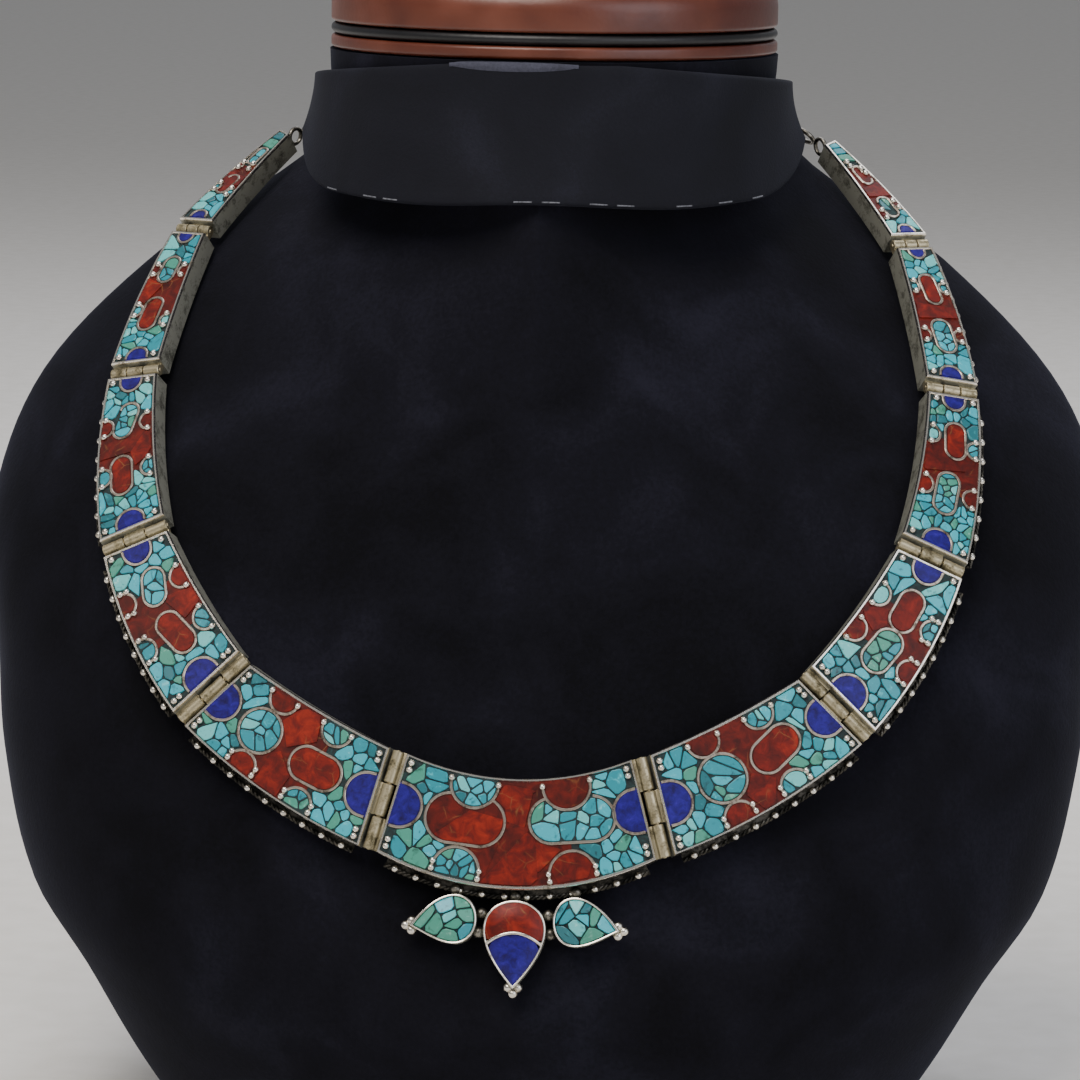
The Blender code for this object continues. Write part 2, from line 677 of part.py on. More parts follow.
# How the stand passes behind each hinge: the squareness of its outline, its widest line as a share of the way
# from the chest to the back, its back as a share of STAND_BACK, and the room that the flat boxes between hinges
# need, in stand clearances
Backing = namedtuple("Backing", "squareness middle back room")
BACKINGS = {
    2: Backing(2.3, 0.54, 0.993, 1.1),
    3: Backing(1.85, 0.54, 1.0, 1.55),
    4: Backing(1.4, 0.58, 1.0, 1.55),
    5: Backing(1.2, 0.62, 1.0, 1.35),
    6: Backing(1.25, 0.68, 0.978, 1.8),
}

# The stand below the collar: height as a share of COLLAR_HEIGHT, half width as one of STAND_HALF_WIDTH, and how
# far its front lies behind the chest's plane, its back and its widest line as shares of STAND_BACK
Row = namedtuple("Row", "height half_width tuck back middle squareness")
LOWER_ROWS = (
    Row(0.0, 0.642, 0.205, 0.84, 0.478, 2.0),
    Row(0.02, 0.67, 0.18, 0.862, 0.478, 2.0),
    Row(0.18, 0.752, 0.096, 0.90, 0.486, 2.0),
    Row(0.40, 0.844, 0.0145, 0.935, 0.507, 2.1),
    Row(0.62, 0.945, 0.0, 0.957, 0.536, 2.3),
    Row(0.95, 1.0, 0.0, 0.978, 0.551, 2.4),
)


def behind_hinge(number, room):
    """The point of the stand behind a hinge, square to the mean of its two boxes."""
    fold = SIDE_BOXES[number - 1].fold if number <= len(SIDE_BOXES) else 0
    frame = HINGE_FRAMES[number] @ turned(fold / 2, "Y")
    return frame @ Vector((0, 0, PIN_DEPTH - BOX_DEPTH - STAND_CLEARANCE * (1 + room)))


def hinge_section(number):
    """A section whose outline passes behind a hinge of the collar."""
    backing = BACKINGS[number]
    point = behind_hinge(number, backing.room)
    front = chest_front(point.z)
    back = STAND_BACK * backing.back
    middle = front + (back - front) * backing.middle
    depth = middle - front if point.y < middle else back - middle
    share = (abs(middle - point.y) / depth) ** backing.squareness
    half_width = point.x / (1 - share) ** (1 / backing.squareness)
    return Section(point.z, half_width, front, back, middle, backing.squareness)


def stand_sections():
    rows = []
    for row in LOWER_ROWS:
        height = COLLAR_HEIGHT * row.height
        front = chest_front(height) + STAND_BACK * row.tuck
        rows.append(Section(height, STAND_HALF_WIDTH * row.half_width, front, STAND_BACK * row.back,
                            STAND_BACK * row.middle, row.squareness))
    rows += [hinge_section(number) for number in BACKINGS]
    neck_front = NECK_CENTRE - NECK_RADIUS
    for height in (NECK_TOP - NECK_LENGTH, NECK_TOP):
        rows.append(Section(height, NECK_RADIUS, neck_front, NECK_BACK, NECK_CENTRE, 2.0))
    return rows


def smooth_between(rows, height):
    """Every column of the sections at a height, on a curve through the rows."""
    index = max(k for k in range(len(rows) - 1) if rows[k].height <= height)
    one, two = rows[index], rows[index + 1]
    before = rows[max(index - 1, 0)]
    after = rows[min(index + 2, len(rows) - 1)]
    span = two.height - one.height
    share = (height - one.height) / span
    values = []
    for column in range(len(one)):
        slope_one = (two[column] - before[column]) / (two.height - before.height) * span
        slope_two = (after[column] - one[column]) / (after.height - one.height) * span
        cubed, squared = share ** 3, share ** 2
        value = (2 * cubed - 3 * squared + 1) * one[column] + (3 * squared - 2 * cubed) * two[column]
        value += (cubed - 2 * squared + share) * slope_one + (cubed - squared) * slope_two
        values.append(value)
    return Section(*values)


def section_point(section, angle, stand_off=0.0):
    """A point of the outline; angle 0 is the right, 90 degrees the back and -90 the front."""
    power = 2 / section.squareness
    cosine, sine = math.cos(angle), math.sin(angle)
    depth = section.back - section.middle if sine > 0 else section.middle - section.front
    x = (section.half_width + stand_off) * math.copysign(abs(cosine) ** power, cosine)
    y = section.middle + (depth + stand_off) * math.copysign(abs(sine) ** power, sine)
    return Vector((x, y, section.height))


def make_bust():
    rows = stand_sections()
    heights = []
    for one, two in zip(rows, rows[1:]):
        steps = max(1, round((two.height - one.height) / RING_SPACING))
        heights += [one.height + (two.height - one.height) * k / steps for k in range(steps)]
    heights.append(rows[-1].height - 1e-6)
    bm = bmesh.new()
    rings = []
    for height in heights:
        section = smooth_between(rows, height)
        rings.append([section_point(section, 2 * math.pi * k / RING_POINTS) for k in range(RING_POINTS)])
    add_loft(bm, rings)
    return object_from(bm, "velvet_bust", VELVET)


def turned_piece(name, surface, profile, height):
    """A solid turned round the neck's axis from its outer profile of radius and height, from the top down."""
    bm = bmesh.new()
    points = [bm.verts.new((radius, 0, z)) for radius, z in profile]
    for one, two in zip(points, points[1:]):
        bm.edges.new((one, two))
    made = object_from(bm, name, surface, Matrix.Translation((0, NECK_CENTRE, height)))
    turning = made.modifiers.new("turning", "SCREW")
    turning.steps = CAP_SIDES
    turning.render_steps = CAP_SIDES
    turning.use_merge_vertices = True
    turning.merge_threshold = 0.0001
    return made


def quarter(centre, height, radius, rise, steps):
    """Points from the crown of a rounded edge down to its side."""
    angles = [math.pi / 2 * (1 - k / steps) for k in range(steps + 1)]
    return [(centre + radius * math.cos(angle), height + rise * math.sin(angle)) for angle in angles]


def make_cap():
    outer = NECK_RADIUS + CAP_OVERHANG
    low = NECK_TOP + SEAT_GAP
    rounding = CAP_RIM_ROUNDING
    rim = [(0, CAP_RIM_HEIGHT), (outer - rounding, CAP_RIM_HEIGHT), (outer, CAP_RIM_HEIGHT - rounding),
           (outer, rounding), (outer - rounding, 0), (0, 0)]
    turned_piece("cap_lower_rim", LEATHER, rim, low)
    low += CAP_RIM_HEIGHT + SEAT_GAP
    bulge = PIPING_HEIGHT / 2
    upper = quarter(outer - bulge, bulge, bulge, bulge, 2)
    lower = quarter(outer - bulge, bulge, bulge, -bulge, 2)
    turned_piece("cap_piping", PIPING, [(0, PIPING_HEIGHT)] + upper + lower[-2::-1] + [(0, 0)], low)
    low += PIPING_HEIGHT + SEAT_GAP
    shoulder = CAP_CROWN_HEIGHT - CAP_CROWN_ROUNDING
    edge = quarter(outer - CAP_CROWN_ROUNDING, shoulder, CAP_CROWN_ROUNDING, CAP_CROWN_ROUNDING * 0.85, 6)
    crown = [(0, CAP_CROWN_HEIGHT), (outer * 0.4, CAP_CROWN_HEIGHT)] + edge + [(outer - rounding, 0), (0, 0)]
    turned_piece("leather_cap", LEATHER, crown, low)


def flap_point(across, down):
    """A point of the cloth strap: across runs from -1 to 1 round the neck's front, down from 0 to 1."""
    angle = math.radians(-90 + FLAP_HALF_TURN * across)
    corner = max(0.0, abs(across) - FLAP_CORNER_START) / (1 - FLAP_CORNER_START)
    top = NECK_TOP - FLAP_HEIGHT * (0.017 + 0.167 * corner ** 2)
    bottom = NECK_TOP - FLAP_HEIGHT * (1 - 0.4 * corner ** 2 - 0.017 * math.cos(9 * across))
    radius = NECK_RADIUS + FLAP_STAND_OFF + FLAP_FLARE * (down ** 2 + 0.3 * corner)
    height = top + (bottom - top) * down
    return Vector((radius * math.cos(angle), NECK_CENTRE + radius * math.sin(angle), height))


def make_flap():
    """A cloth strap round the front of the neck, with rounded lower corners and a slightly flared hem."""
    bm = bmesh.new()
    bmesh.ops.create_grid(bm, x_segments=FLAP_SEGMENTS[0], y_segments=FLAP_SEGMENTS[1], size=1)
    for vertex in bm.verts:
        vertex.co = flap_point(vertex.co.x, (1 - vertex.co.y) / 2)
    flap = object_from(bm, "neck_flap", FLAP_CLOTH)
    thick = flap.modifiers.new("thickness", "SOLIDIFY")
    thick.thickness = FLAP_THICKNESS * MM
    thick.offset = 0.0


# Back chain, lying round the back of the neck

def route_point(share, start):
    """The chain's middle line, from the end eye at share 0 to the middle of the back at share 1."""
    rows = stand_sections()
    height = start.z + (NECK_TOP - CHAIN_BACK_DROP - start.z) * math.sin(share * math.pi / 2)
    section = smooth_between(rows, height)
    first = smooth_between(rows, start.z)
    depth = first.back - first.middle + CHAIN_STAND_OFF
    sine = ((start.y - first.middle) / depth) ** (first.squareness / 2)
    first_angle = math.asin(sine)
    angle = first_angle + (math.pi / 2 - first_angle) * share
    shift = start - section_point(first, first_angle, CHAIN_STAND_OFF)
    return section_point(section, angle, CHAIN_STAND_OFF) + shift * (1 - share) ** 2


def chain_route(steps=CHAIN_STEPS):
    box = SIDE_BOXES[-1]
    eye_end = box_length(box) / 2 - HINGE_GAP / 2 + 2 * END_EYE_RADIUS + END_EYE_WIRE
    start = BOX_FRAMES[6] @ Vector((eye_end + END_CLEARANCE, 0, -BOX_DEPTH / 2))
    return [route_point(k / steps, start) for k in range(steps + 1)]


def at_length(route, lengths, wanted):
    step = max(k for k in range(len(lengths) - 1) if lengths[k] <= wanted)
    share = (wanted - lengths[step]) / (lengths[step + 1] - lengths[step])
    return route[step].lerp(route[step + 1], share), (route[step + 1] - route[step]).normalized()


def link_frame(middle, along, turn):
    outward = Vector((middle.x, middle.y - NECK_CENTRE, 0)).normalized()
    upward = outward.cross(along).normalized()
    outward = along.cross(upward).normalized()
    frame = Matrix((along, upward, outward)).transposed().to_4x4()
    frame.translation = middle
    return frame @ turned(turn, "X")


def make_chain(side, word, route, lengths):
    """One half of the back chain: every second link, joined to the links between them."""
    last_reach = CLASP_LENGTH / 2 - 2 * CLASP_WIRE - 2 * LINK_WIRE - CLASP_PLAY
    run = lengths[-1] - last_reach
    count = round(run / (LINK_LENGTH - 4 * LINK_WIRE))
    pitch = (run - 4 * LINK_WIRE) / count
    length = pitch + 4 * LINK_WIRE - LINK_OVERLAP
    link = wire_ring(length, LINK_WIDTH, LINK_WIRE)
    alternate = (bmesh.new(), bmesh.new())
    for index in range(count):
        middle, along = at_length(route, lengths, length / 2 + pitch * index)
        frame = link_frame(middle, along, LINK_TWIST if index % 2 else -LINK_TWIST)
        add_mesh(alternate[index % 2], link, frame)
    for bm in alternate:
        if side < 0:
            bmesh.ops.transform(bm, matrix=MIRROR, verts=bm.verts)
    chain = object_from(alternate[0], f"back_chain_{word}", SILVER)
    boolean(chain, object_from(alternate[1], f"back_chain_{word}_links_between", SILVER), "UNION")
    return LINK_TWIST if count % 2 else -LINK_TWIST


def make_back_chain():
    route = chain_route()
    lengths = [0.0]
    for one, two in zip(route, route[1:]):
        lengths.append(lengths[-1] + (two - one).length)
    for side, word in SIDE_NAMES.items():
        turn = make_chain(side, word, route, lengths)
    bm = bmesh.new()
    frame = link_frame(route[-1], Vector((-1, 0, 0)), turn)
    add_mesh(bm, wire_ring(CLASP_LENGTH, CLASP_WIDTH, CLASP_WIRE, around=12, sides=6), frame)
    object_from(bm, "ring_clasp", SILVER)


make_collar()
make_back_chain()
make_bust()
make_cap()
make_flap()
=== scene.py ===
"""Looks of the hinged inlay collar on its velvet neck stand.

X runs to the right of the front view, -Y towards the viewer and Z up. Sizes are in millimetres and angles in
degrees, and MM turns them to metres. The jewel and the stand are laid out from a datum under the centre box's
hinge line.
"""

import math
import random
from collections import namedtuple

import bmesh
import bpy
from mathutils import Matrix, Vector


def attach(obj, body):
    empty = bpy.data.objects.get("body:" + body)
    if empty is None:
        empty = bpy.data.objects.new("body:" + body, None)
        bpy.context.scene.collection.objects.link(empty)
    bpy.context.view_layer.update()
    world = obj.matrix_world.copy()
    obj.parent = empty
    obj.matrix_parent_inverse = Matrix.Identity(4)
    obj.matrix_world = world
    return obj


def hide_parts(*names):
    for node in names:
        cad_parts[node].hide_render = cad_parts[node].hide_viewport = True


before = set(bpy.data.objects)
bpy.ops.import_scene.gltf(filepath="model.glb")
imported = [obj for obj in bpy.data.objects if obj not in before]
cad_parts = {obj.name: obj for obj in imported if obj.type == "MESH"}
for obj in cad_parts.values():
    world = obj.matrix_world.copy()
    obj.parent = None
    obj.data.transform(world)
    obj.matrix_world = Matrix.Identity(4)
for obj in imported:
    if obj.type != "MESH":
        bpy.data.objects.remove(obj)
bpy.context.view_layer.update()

MM = 0.001

# Collar
COLLAR_FORWARD = 65.0
COLLAR_HEIGHT = 78.0
COLLAR_LEAN = 16.0
CENTRE_LENGTH = 50.5
SIDE_LENGTH = 39.0
BAND_WIDTH = 19.4
BOX_DEPTH = 5.0
RIM_WIDTH = 0.8
EDGE_BOW = 6.4
ARC_STEPS = 24

# Each box: its length as a share of SIDE_LENGTH (the centre box has its own length), the angle between its
# two hinge lines, the fold at its near hinge, its far width as a share of BAND_WIDTH, and the bow of its
# inner and outer edges as shares of EDGE_BOW
Box = namedtuple("Box", "number length wedge fold far_width inner_bow outer_bow")
SIDE_BOXES = (
    Box(2, 1.02, 31, 9, 0.89, 0.11, 0.29),
    Box(3, 0.93, 22, 11, 0.72, 0.12, 0.27),
    Box(4, 1.00, 19, 13, 0.56, 0.16, 0.23),
    Box(5, 0.95, 14, 8, 0.42, 0.08, 0.16),
    Box(6, 0.82, 26, 8, 0.17, 0.08, 0.14),
)
CENTRE_BOX = Box(1, None, 31, 0, 1.0, 0.67, 1.0)

# Hinges
HINGE_GAP = 3.2
PIN_DEPTH = 1.5
PIN_RADIUS = 0.5
KNUCKLE_RADIUS = 1.15
KNUCKLE_CLEARANCE = 0.25
KNUCKLE_TAIL = 0.2
KNUCKLE_STEPS = 14
KNUCKLE_CHAMFER = 0.14
PIN_END_RADIUS = 0.3
PIN_CHAMFER = 0.25
PIN_SIDES = 16

# Inlay levels, measured up from a box's face
RIM_TOP = 0.08
FIELD_GROUT = -0.2
FIELD_INSET = 0.62
CHIP_INSET = FIELD_INSET + 0.08
CORAL_BAND_BED = -0.12
KIDNEY_BED = -0.07
ARCH_BED = -0.03
CHIP_FOOT = -0.6
CHIP_TOP = 0.1
CHIP_UNEVENNESS = 0.03
BED_FOOT = -1.2
GRANULE_SEAT = 0.12
RIBBON_TOP = 0.2

# Inlay widths
RIBBON_WIDTH = 0.52
RIBBON_GAP = 0.14
INLAY_GRANULE = 0.64
INLAY_GRANULE_PITCH = 2.1       # in radii, as the granules touch
CORNER_GRANULE = 1.25           # in radii, from the corner of the field
RIM_GRANULE = 1.1               # in radii, from the end rim
GRANULE_ROOM = 0.1
RIBBON_ROUNDING = 0.12
TURQUOISE_CHIP = 2.3
SMALL_CHIP = 1.8
TURQUOISE_GAP = 0.24
PAISLEY_CHIP = 2.4
CORAL_CHIP = 4.6
CORAL_GAP = 0.0
KIDNEY_CHIP_SHARE = 0.9         # chips in kidneys and arches are smaller than in the field
ARCH_CHIP_SHARE = 0.72
ROW_PITCH = 0.87                # a honeycomb's rows lie closer than its places in a row
SEED_SHAKE = 0.36
SEED_LOSS = 0.16
EDGE_ROOM = 0.16
HOLE_ROOM = 0.14
FIRST_ROW = 0.3
CELL_REACH = 1.9                # in chip sizes: no chip grows farther from its seed
NEIGHBOUR_REACH = 2.2           # in cell reaches: seeds farther off don't bound a chip
SMALLEST_CHIP = 0.25            # in square millimetres

# Granules and twisted wire along the outer walls
GRANULE_RADIUS = 0.75
GRANULE_PITCH = 4.0
GRANULE_DEPTH = 3.0
GRANULE_STAND_OFF = 1.2
TWIST_WIRE = 0.26
TWIST_PITCH = 2.0
TWIST_STEPS = 4                 # to a millimetre
LEDGE_WIDTH = 1.6
LEDGE_HEIGHT = 0.5
LEDGE_ROOT = -0.3

# The inlay pattern of each box, by shares of the way from the near to the far end (u) and from the outer
# to the inner rim (v): two large kidneys of stone, and arches that stand on the inner and the outer rim
# beside them. Radii are shares of the box's width there
Kidney = namedtuple("Kidney", "u_near v_near u_far v_far radius")
Pattern = namedtuple("Pattern", "near_kidney far_kidney near_inner near_outer far_inner far_outer radius")
PATTERNS = {
    ("right", 1): Pattern(Kidney(0.23, 0.56, 0.35, 0.58, 0.24), Kidney(0.64, 0.61, 0.80, 0.57, 0.22),
                          0.31, 0.277, 0.71, 0.71, 0.23),
    ("right", 2): Pattern(Kidney(0.34, 0.50, 0.34, 0.50, 0.25), Kidney(0.60, 0.48, 0.71, 0.53, 0.18),
                          0.31, 0.34, 0.69, 0.65, 0.165),
    ("right", 3): Pattern(Kidney(0.32, 0.50, 0.44, 0.48, 0.18), Kidney(0.61, 0.49, 0.73, 0.49, 0.17),
                          0.38, 0.37, 0.68, 0.65, 0.16),
    ("right", 4): Pattern(Kidney(0.29, 0.52, 0.43, 0.51, 0.18), Kidney(0.65, 0.45, 0.76, 0.47, 0.18),
                          0.37, 0.37, 0.73, 0.68, 0.16),
    ("right", 5): Pattern(Kidney(0.27, 0.46, 0.39, 0.49, 0.21), Kidney(0.62, 0.46, 0.74, 0.50, 0.19),
                          0.32, 0.33, 0.71, 0.70, 0.15),
    ("right", 6): Pattern(Kidney(0.24, 0.50, 0.34, 0.50, 0.22), Kidney(0.58, 0.45, 0.68, 0.45, 0.24),
                          0.20, 0.30, 0.77, 0.68, 0.16),
    ("left", 2): Pattern(Kidney(0.29, 0.48, 0.40, 0.47, 0.18), Kidney(0.70, 0.49, 0.70, 0.49, 0.24),
                         0.32, 0.35, 0.71, 0.68, 0.165),
    ("left", 3): Pattern(Kidney(0.30, 0.55, 0.44, 0.49, 0.16), Kidney(0.65, 0.50, 0.74, 0.56, 0.16),
                         0.33, 0.38, 0.68, 0.69, 0.16),
    ("left", 4): Pattern(Kidney(0.30, 0.42, 0.42, 0.42, 0.18), Kidney(0.66, 0.43, 0.76, 0.53, 0.18),
                         0.36, 0.37, 0.69, 0.69, 0.16),
    ("left", 5): Pattern(Kidney(0.30, 0.46, 0.43, 0.48, 0.20), Kidney(0.66, 0.46, 0.75, 0.48, 0.20),
                         0.30, 0.39, 0.71, 0.71, 0.15),
    ("left", 6): Pattern(Kidney(0.34, 0.44, 0.44, 0.48, 0.22), Kidney(0.66, 0.50, 0.76, 0.50, 0.24),
                         0.30, 0.35, 0.60, 0.60, 0.16),
}
MOON_RADIUS = 0.215         # lapis moons at both ends, as a share of the box's width there
MOON_LIFT = 0.2             # how far an arch's middle stands off its rim, as a share of its radius
ARCH_LIFT = 0.25
KIDNEY_POINTS = 40
ARCH_POINTS = 18

# Pendant trio
BEZEL_WALL = 0.7
SETTING_DEPTH = 3.4
SETTING_SET_BACK = 1.2
SETTING_RECESS = 1.4
STONE_INSET = 0.46
STONE_SINK = 0.1
GROUT_SINK = 0.42
STONE_DOME = 1.0
DOME_REACH = 3.4
PEAR_LENGTH = 16.6
PEAR_WIDTH = 11.8
PEAR_DROP = 18.0
PARTING_ENDS = 0.54         # how far down the pear the silver arc meets its sides, and where its middle lies
PARTING_CROWN = 0.37
PARTING_WIRE = 0.34
PARTING_GAP = 0.05
PAISLEY_LENGTH = 12.6
PAISLEY_WIDTH = 9.4
PAISLEY_START = 7.1
PAISLEY_DROP = 21.8
PAISLEY_BEND = 1.4
TIP_INSET = 2.6
WIDEST_SHARE = 0.77
TIP_GRANULE_RADIUS = 0.95
TIP_GRANULE_PITCH = 1.8
TIP_GRANULE_SHARES = ((-0.5, 0.2), (0.5, 0.2), (0.0, -0.42))
LINK_GRANULE_RADIUS = 1.3
LINK_GRANULE_SHOWN = 0.85       # share of the radius left outside the solder
LINK_GRANULE_DEPTH = 3.0
LINK_GRANULES = (
    ("pear", 0.0, -0.6),
    ("paisley_top", -0.95, -0.7), ("paisley_top", 0.95, -0.7),
    ("paisley", -0.53, -0.9), ("paisley", 0.53, -0.9),
    ("paisley", -0.57, 1.8), ("paisley", 0.57, 1.8),
)

# Back chain and its ring clasp
END_EYE_RADIUS = 1.6
END_EYE_WIRE = 0.45
LINK_LENGTH = 8.0
LINK_WIDTH = 5.0
LINK_WIRE = 0.5
LINK_OVERLAP = 0.12
LINK_TWIST = 45
CHAIN_STEPS = 160
CHAIN_STAND_OFF = 2.9
CHAIN_BACK_DROP = 13.7
END_CLEARANCE = 0.6
CLASP_LENGTH = 14.0
CLASP_WIDTH = 7.0
CLASP_WIRE = 0.8
CLASP_PLAY = 0.3

# Stand
SEAT_GAP = 0.3
STAND_CLEARANCE = 0.9
STAND_HALF_WIDTH = 109.0
STAND_BACK = 138.0
NECK_RADIUS = 45.0
NECK_BACK = 130.0
NECK_START = 6.0
NECK_LENGTH = 12.7
RING_POINTS = 96
RING_SPACING = 3.5
CAP_SIDES = 96
CAP_OVERHANG = -0.2
CAP_RIM_HEIGHT = 2.6
CAP_RIM_ROUNDING = 0.8
PIPING_HEIGHT = 2.0
CAP_CROWN_HEIGHT = 11.0
CAP_CROWN_ROUNDING = 7.0
FLAP_THICKNESS = 1.8
FLAP_HEIGHT = 27.4
FLAP_STAND_OFF = 1.4
FLAP_FLARE = 2.6
FLAP_HALF_TURN = 88
FLAP_CORNER_START = 0.62
FLAP_PLATEAU = 0.22
FLAP_STATIONS = 96
FLAP_ROWS = 22
STITCHES = (-0.66, -0.5, -0.43, -0.06, 0.01, 0.13, 0.2, 0.36, 0.49, 0.62)
STITCH_RADIUS = 0.16
STITCH_LENGTH = 0.045
STITCH_LINE = 0.975
FOLD_SPAN = (-0.25, 0.1)
FOLD_STEPS = 32
FOLD_DEPTH = 0.05

# Camera
LENS = 143.9
CAMERA_DISTANCE = 798.5
CAMERA_TURN = 3.144
CAMERA_RISE = 9.463
CAMERA_ROLL = 0.916
CAMERA_AIM = Vector((3.38, -65.0, 128.0))
FLOOR_RADIUS = 10000.0
FLOOR_THICKNESS = 10.0
FLOOR_SIDES = 96

# Soft lights: name, place and width in metres, power in watts and colour
Light = namedtuple("Light", "name place width power colour")
LIGHTS = (
    Light("key_upper_left", (-0.4, -0.85, 1.5), 1.0, 25.0, "#fff8f0"),
    Light("fill_right", (1.1, -1.0, 0.7), 1.1, 9.0, "#f2f5ff"),
    Light("over_and_behind", (0.1, 0.8, 1.3), 1.2, 12.0, "#f6f8ff"),
)
AIR_COLOUR = "#dfe1e6"
AIR_STRENGTH = 0.36

SIDE_NAMES = {1: "right", -1: "left"}
MIRROR = Matrix.Diagonal((-1, 1, 1, 1))
DATUM = Matrix.Translation((0, -COLLAR_FORWARD, 0))


# Materials

def linear(hex_colour):
    """An sRGB hex colour as linear red, green, blue and alpha."""
    channels = []
    for start in (1, 3, 5):
        value = int(hex_colour[start:start + 2], 16) / 255
        channels.append(value / 12.92 if value <= 0.04045 else ((value + 0.055) / 1.055) ** 2.4)
    return (*channels, 1.0)


def per_metre(millimetres):
    """A texture scale whose pattern is this many millimetres across."""
    return 1 / (millimetres * MM)


def add_node(material, kind, inputs=None, stops=None, **settings):
    """Add a node. An input is a value or the socket that feeds it; stops are a ramp's places and colours."""
    node = material.node_tree.nodes.new(kind)
    for name, value in settings.items():
        setattr(node, name, value)
    for name, value in (inputs or {}).items():
        if isinstance(value, bpy.types.NodeSocket):
            material.node_tree.links.new(value, node.inputs[name])
        else:
            node.inputs[name].default_value = value
    for index, (position, colour) in enumerate(stops or ()):
        elements = node.color_ramp.elements
        stop = elements[index] if index < 2 else elements.new(position)
        stop.position = position
        stop.color = linear(colour)
    return node


def start_material(name, **values):
    """A Principled material with its plain values set, its shader and its object coordinates."""
    material = bpy.data.materials.new(name)
    material.use_nodes = True
    shader = material.node_tree.nodes["Principled BSDF"]
    for socket, value in values.items():
        shader.inputs[socket.replace("_", " ")].default_value = value
    place = add_node(material, "ShaderNodeTexCoord").outputs["Object"]
    return material, shader, place


def finish_material(material, shader, colour, height, bump, depth, roughness=None):
    """Feed a shader its colour, its bump of a depth in millimetres, and where it varies its roughness."""
    links = material.node_tree.links
    links.new(colour, shader.inputs["Base Color"])
    relief = add_node(material, "ShaderNodeBump",
                      {"Height": height, "Strength": bump, "Distance": depth * MM})
    links.new(relief.outputs["Normal"], shader.inputs["Normal"])
    if roughness:
        links.new(roughness, shader.inputs["Roughness"])
    return material


def silver_alloy(name, bright, worn, dark, smooth, rough, tarnish, metallic=1.0):
    """Silver alloy filed and rubbed by hand: soft broken highlights, with grey-brown tarnish in blots."""
    material, shader, place = start_material(name, Metallic=metallic)
    blots = add_node(material, "ShaderNodeTexNoise",
                     {"Vector": place, "Scale": per_metre(2.8), "Detail": 5.0,
                      "Roughness": 0.65}).outputs["Fac"]
    # file marks are under 0.1 mm wide; they are drawn at 0.4 mm so that they show
    marks = add_node(material, "ShaderNodeTexNoise",
                     {"Vector": place, "Scale": per_metre(0.4), "Detail": 3.0}).outputs["Fac"]
    mixed = add_node(material, "ShaderNodeMath", {0: marks, 1: 0.3, 2: blots},
                     operation="MULTIPLY_ADD").outputs[0]
    stops = [(tarnish - 0.08, dark), (tarnish + 0.12, bright), (tarnish + 0.02, worn)]
    colour = add_node(material, "ShaderNodeValToRGB", {"Fac": mixed}, stops).outputs["Color"]
    dull = add_node(material, "ShaderNodeMapRange",
                    {"Value": mixed, "From Min": tarnish - 0.1, "From Max": tarnish + 0.15,
                     "To Min": rough, "To Max": smooth}).outputs["Result"]
    return finish_material(material, shader, colour, marks, 0.3, 0.05, dull)


def ground_turquoise(name, pale, body, deep):
    """Turquoise chips ground flush and buffed: a waxy polish, mottled from pale to full colour."""
    material, shader, place = start_material(name, Roughness=0.36, IOR=1.61)
    mottle = add_node(material, "ShaderNodeTexNoise",
                      {"Vector": place, "Scale": per_metre(1.5), "Detail": 5.0, "Roughness": 0.6,
                       "Distortion": 0.5}).outputs["Fac"]
    colour = add_node(material, "ShaderNodeValToRGB", {"Fac": mottle},
                      [(0.3, deep), (0.74, pale), (0.42, body), (0.6, body)]).outputs["Color"]
    return finish_material(material, shader, colour, mottle, 0.3, 0.1)


def ground_coral(name, deep, body, bright):
    """Pressed coral ground flush with its ribbons: brick red with brighter patches and fine ochre cracks."""
    material, shader, place = start_material(name, Roughness=0.46, Specular_IOR_Level=0.3)
    patches = add_node(material, "ShaderNodeTexNoise",
                       {"Vector": place, "Scale": per_metre(2.6), "Detail": 6.0, "Roughness": 0.62,
                        "Distortion": 0.6})
    red = add_node(material, "ShaderNodeValToRGB", {"Fac": patches.outputs["Fac"]},
                   [(0.32, deep), (0.7, bright), (0.5, body)]).outputs["Color"]
    # the noise shifts the cracks by up to a millimetre, so that they wander
    wander = add_node(material, "ShaderNodeVectorMath",
                      {0: patches.outputs["Color"], 1: (MM, MM, MM), 2: place},
                      operation="MULTIPLY_ADD").outputs[0]
    cracks = add_node(material, "ShaderNodeTexVoronoi", {"Vector": wander, "Scale": per_metre(4.2)},
                      feature="DISTANCE_TO_EDGE").outputs["Distance"]
    line = add_node(material, "ShaderNodeMapRange",
                    {"Value": cracks, "From Max": 0.03, "To Min": 1.0, "To Max": 0.0}).outputs["Result"]
    spread = add_node(material, "ShaderNodeTexNoise",
                      {"Vector": place, "Scale": per_metre(5.0)}).outputs["Fac"]
    opened = add_node(material, "ShaderNodeMapRange",
                      {"Value": spread, "From Min": 0.52, "From Max": 0.66, "To Max": 0.7}).outputs["Result"]
    amount = add_node(material, "ShaderNodeMath", {0: line, 1: opened}, operation="MULTIPLY").outputs[0]
    colour = add_node(material, "ShaderNodeMixRGB",
                      {"Fac": amount, "Color1": red, "Color2": linear("#8a5a30")}).outputs["Color"]
    return finish_material(material, shader, colour, patches.outputs["Fac"], 0.25, 0.1)


def ground_lapis(name):
    """Lapis set in resin and ground flush: deep ultramarine with violet clouds."""
    material, shader, place = start_material(name, Roughness=0.42, Specular_IOR_Level=0.3)
    clouds = add_node(material, "ShaderNodeTexNoise",
                      {"Vector": place, "Scale": per_metre(1.6), "Detail": 5.0, "Roughness": 0.65,
                       "Distortion": 0.5}).outputs["Fac"]
    stops = [(0.3, "#130644"), (0.78, "#4530ac"), (0.5, "#1e0d70"), (0.64, "#281588")]
    colour = add_node(material, "ShaderNodeValToRGB", {"Fac": clouds}, stops).outputs["Color"]
    return finish_material(material, shader, colour, clouds, 0.3, 0.1)


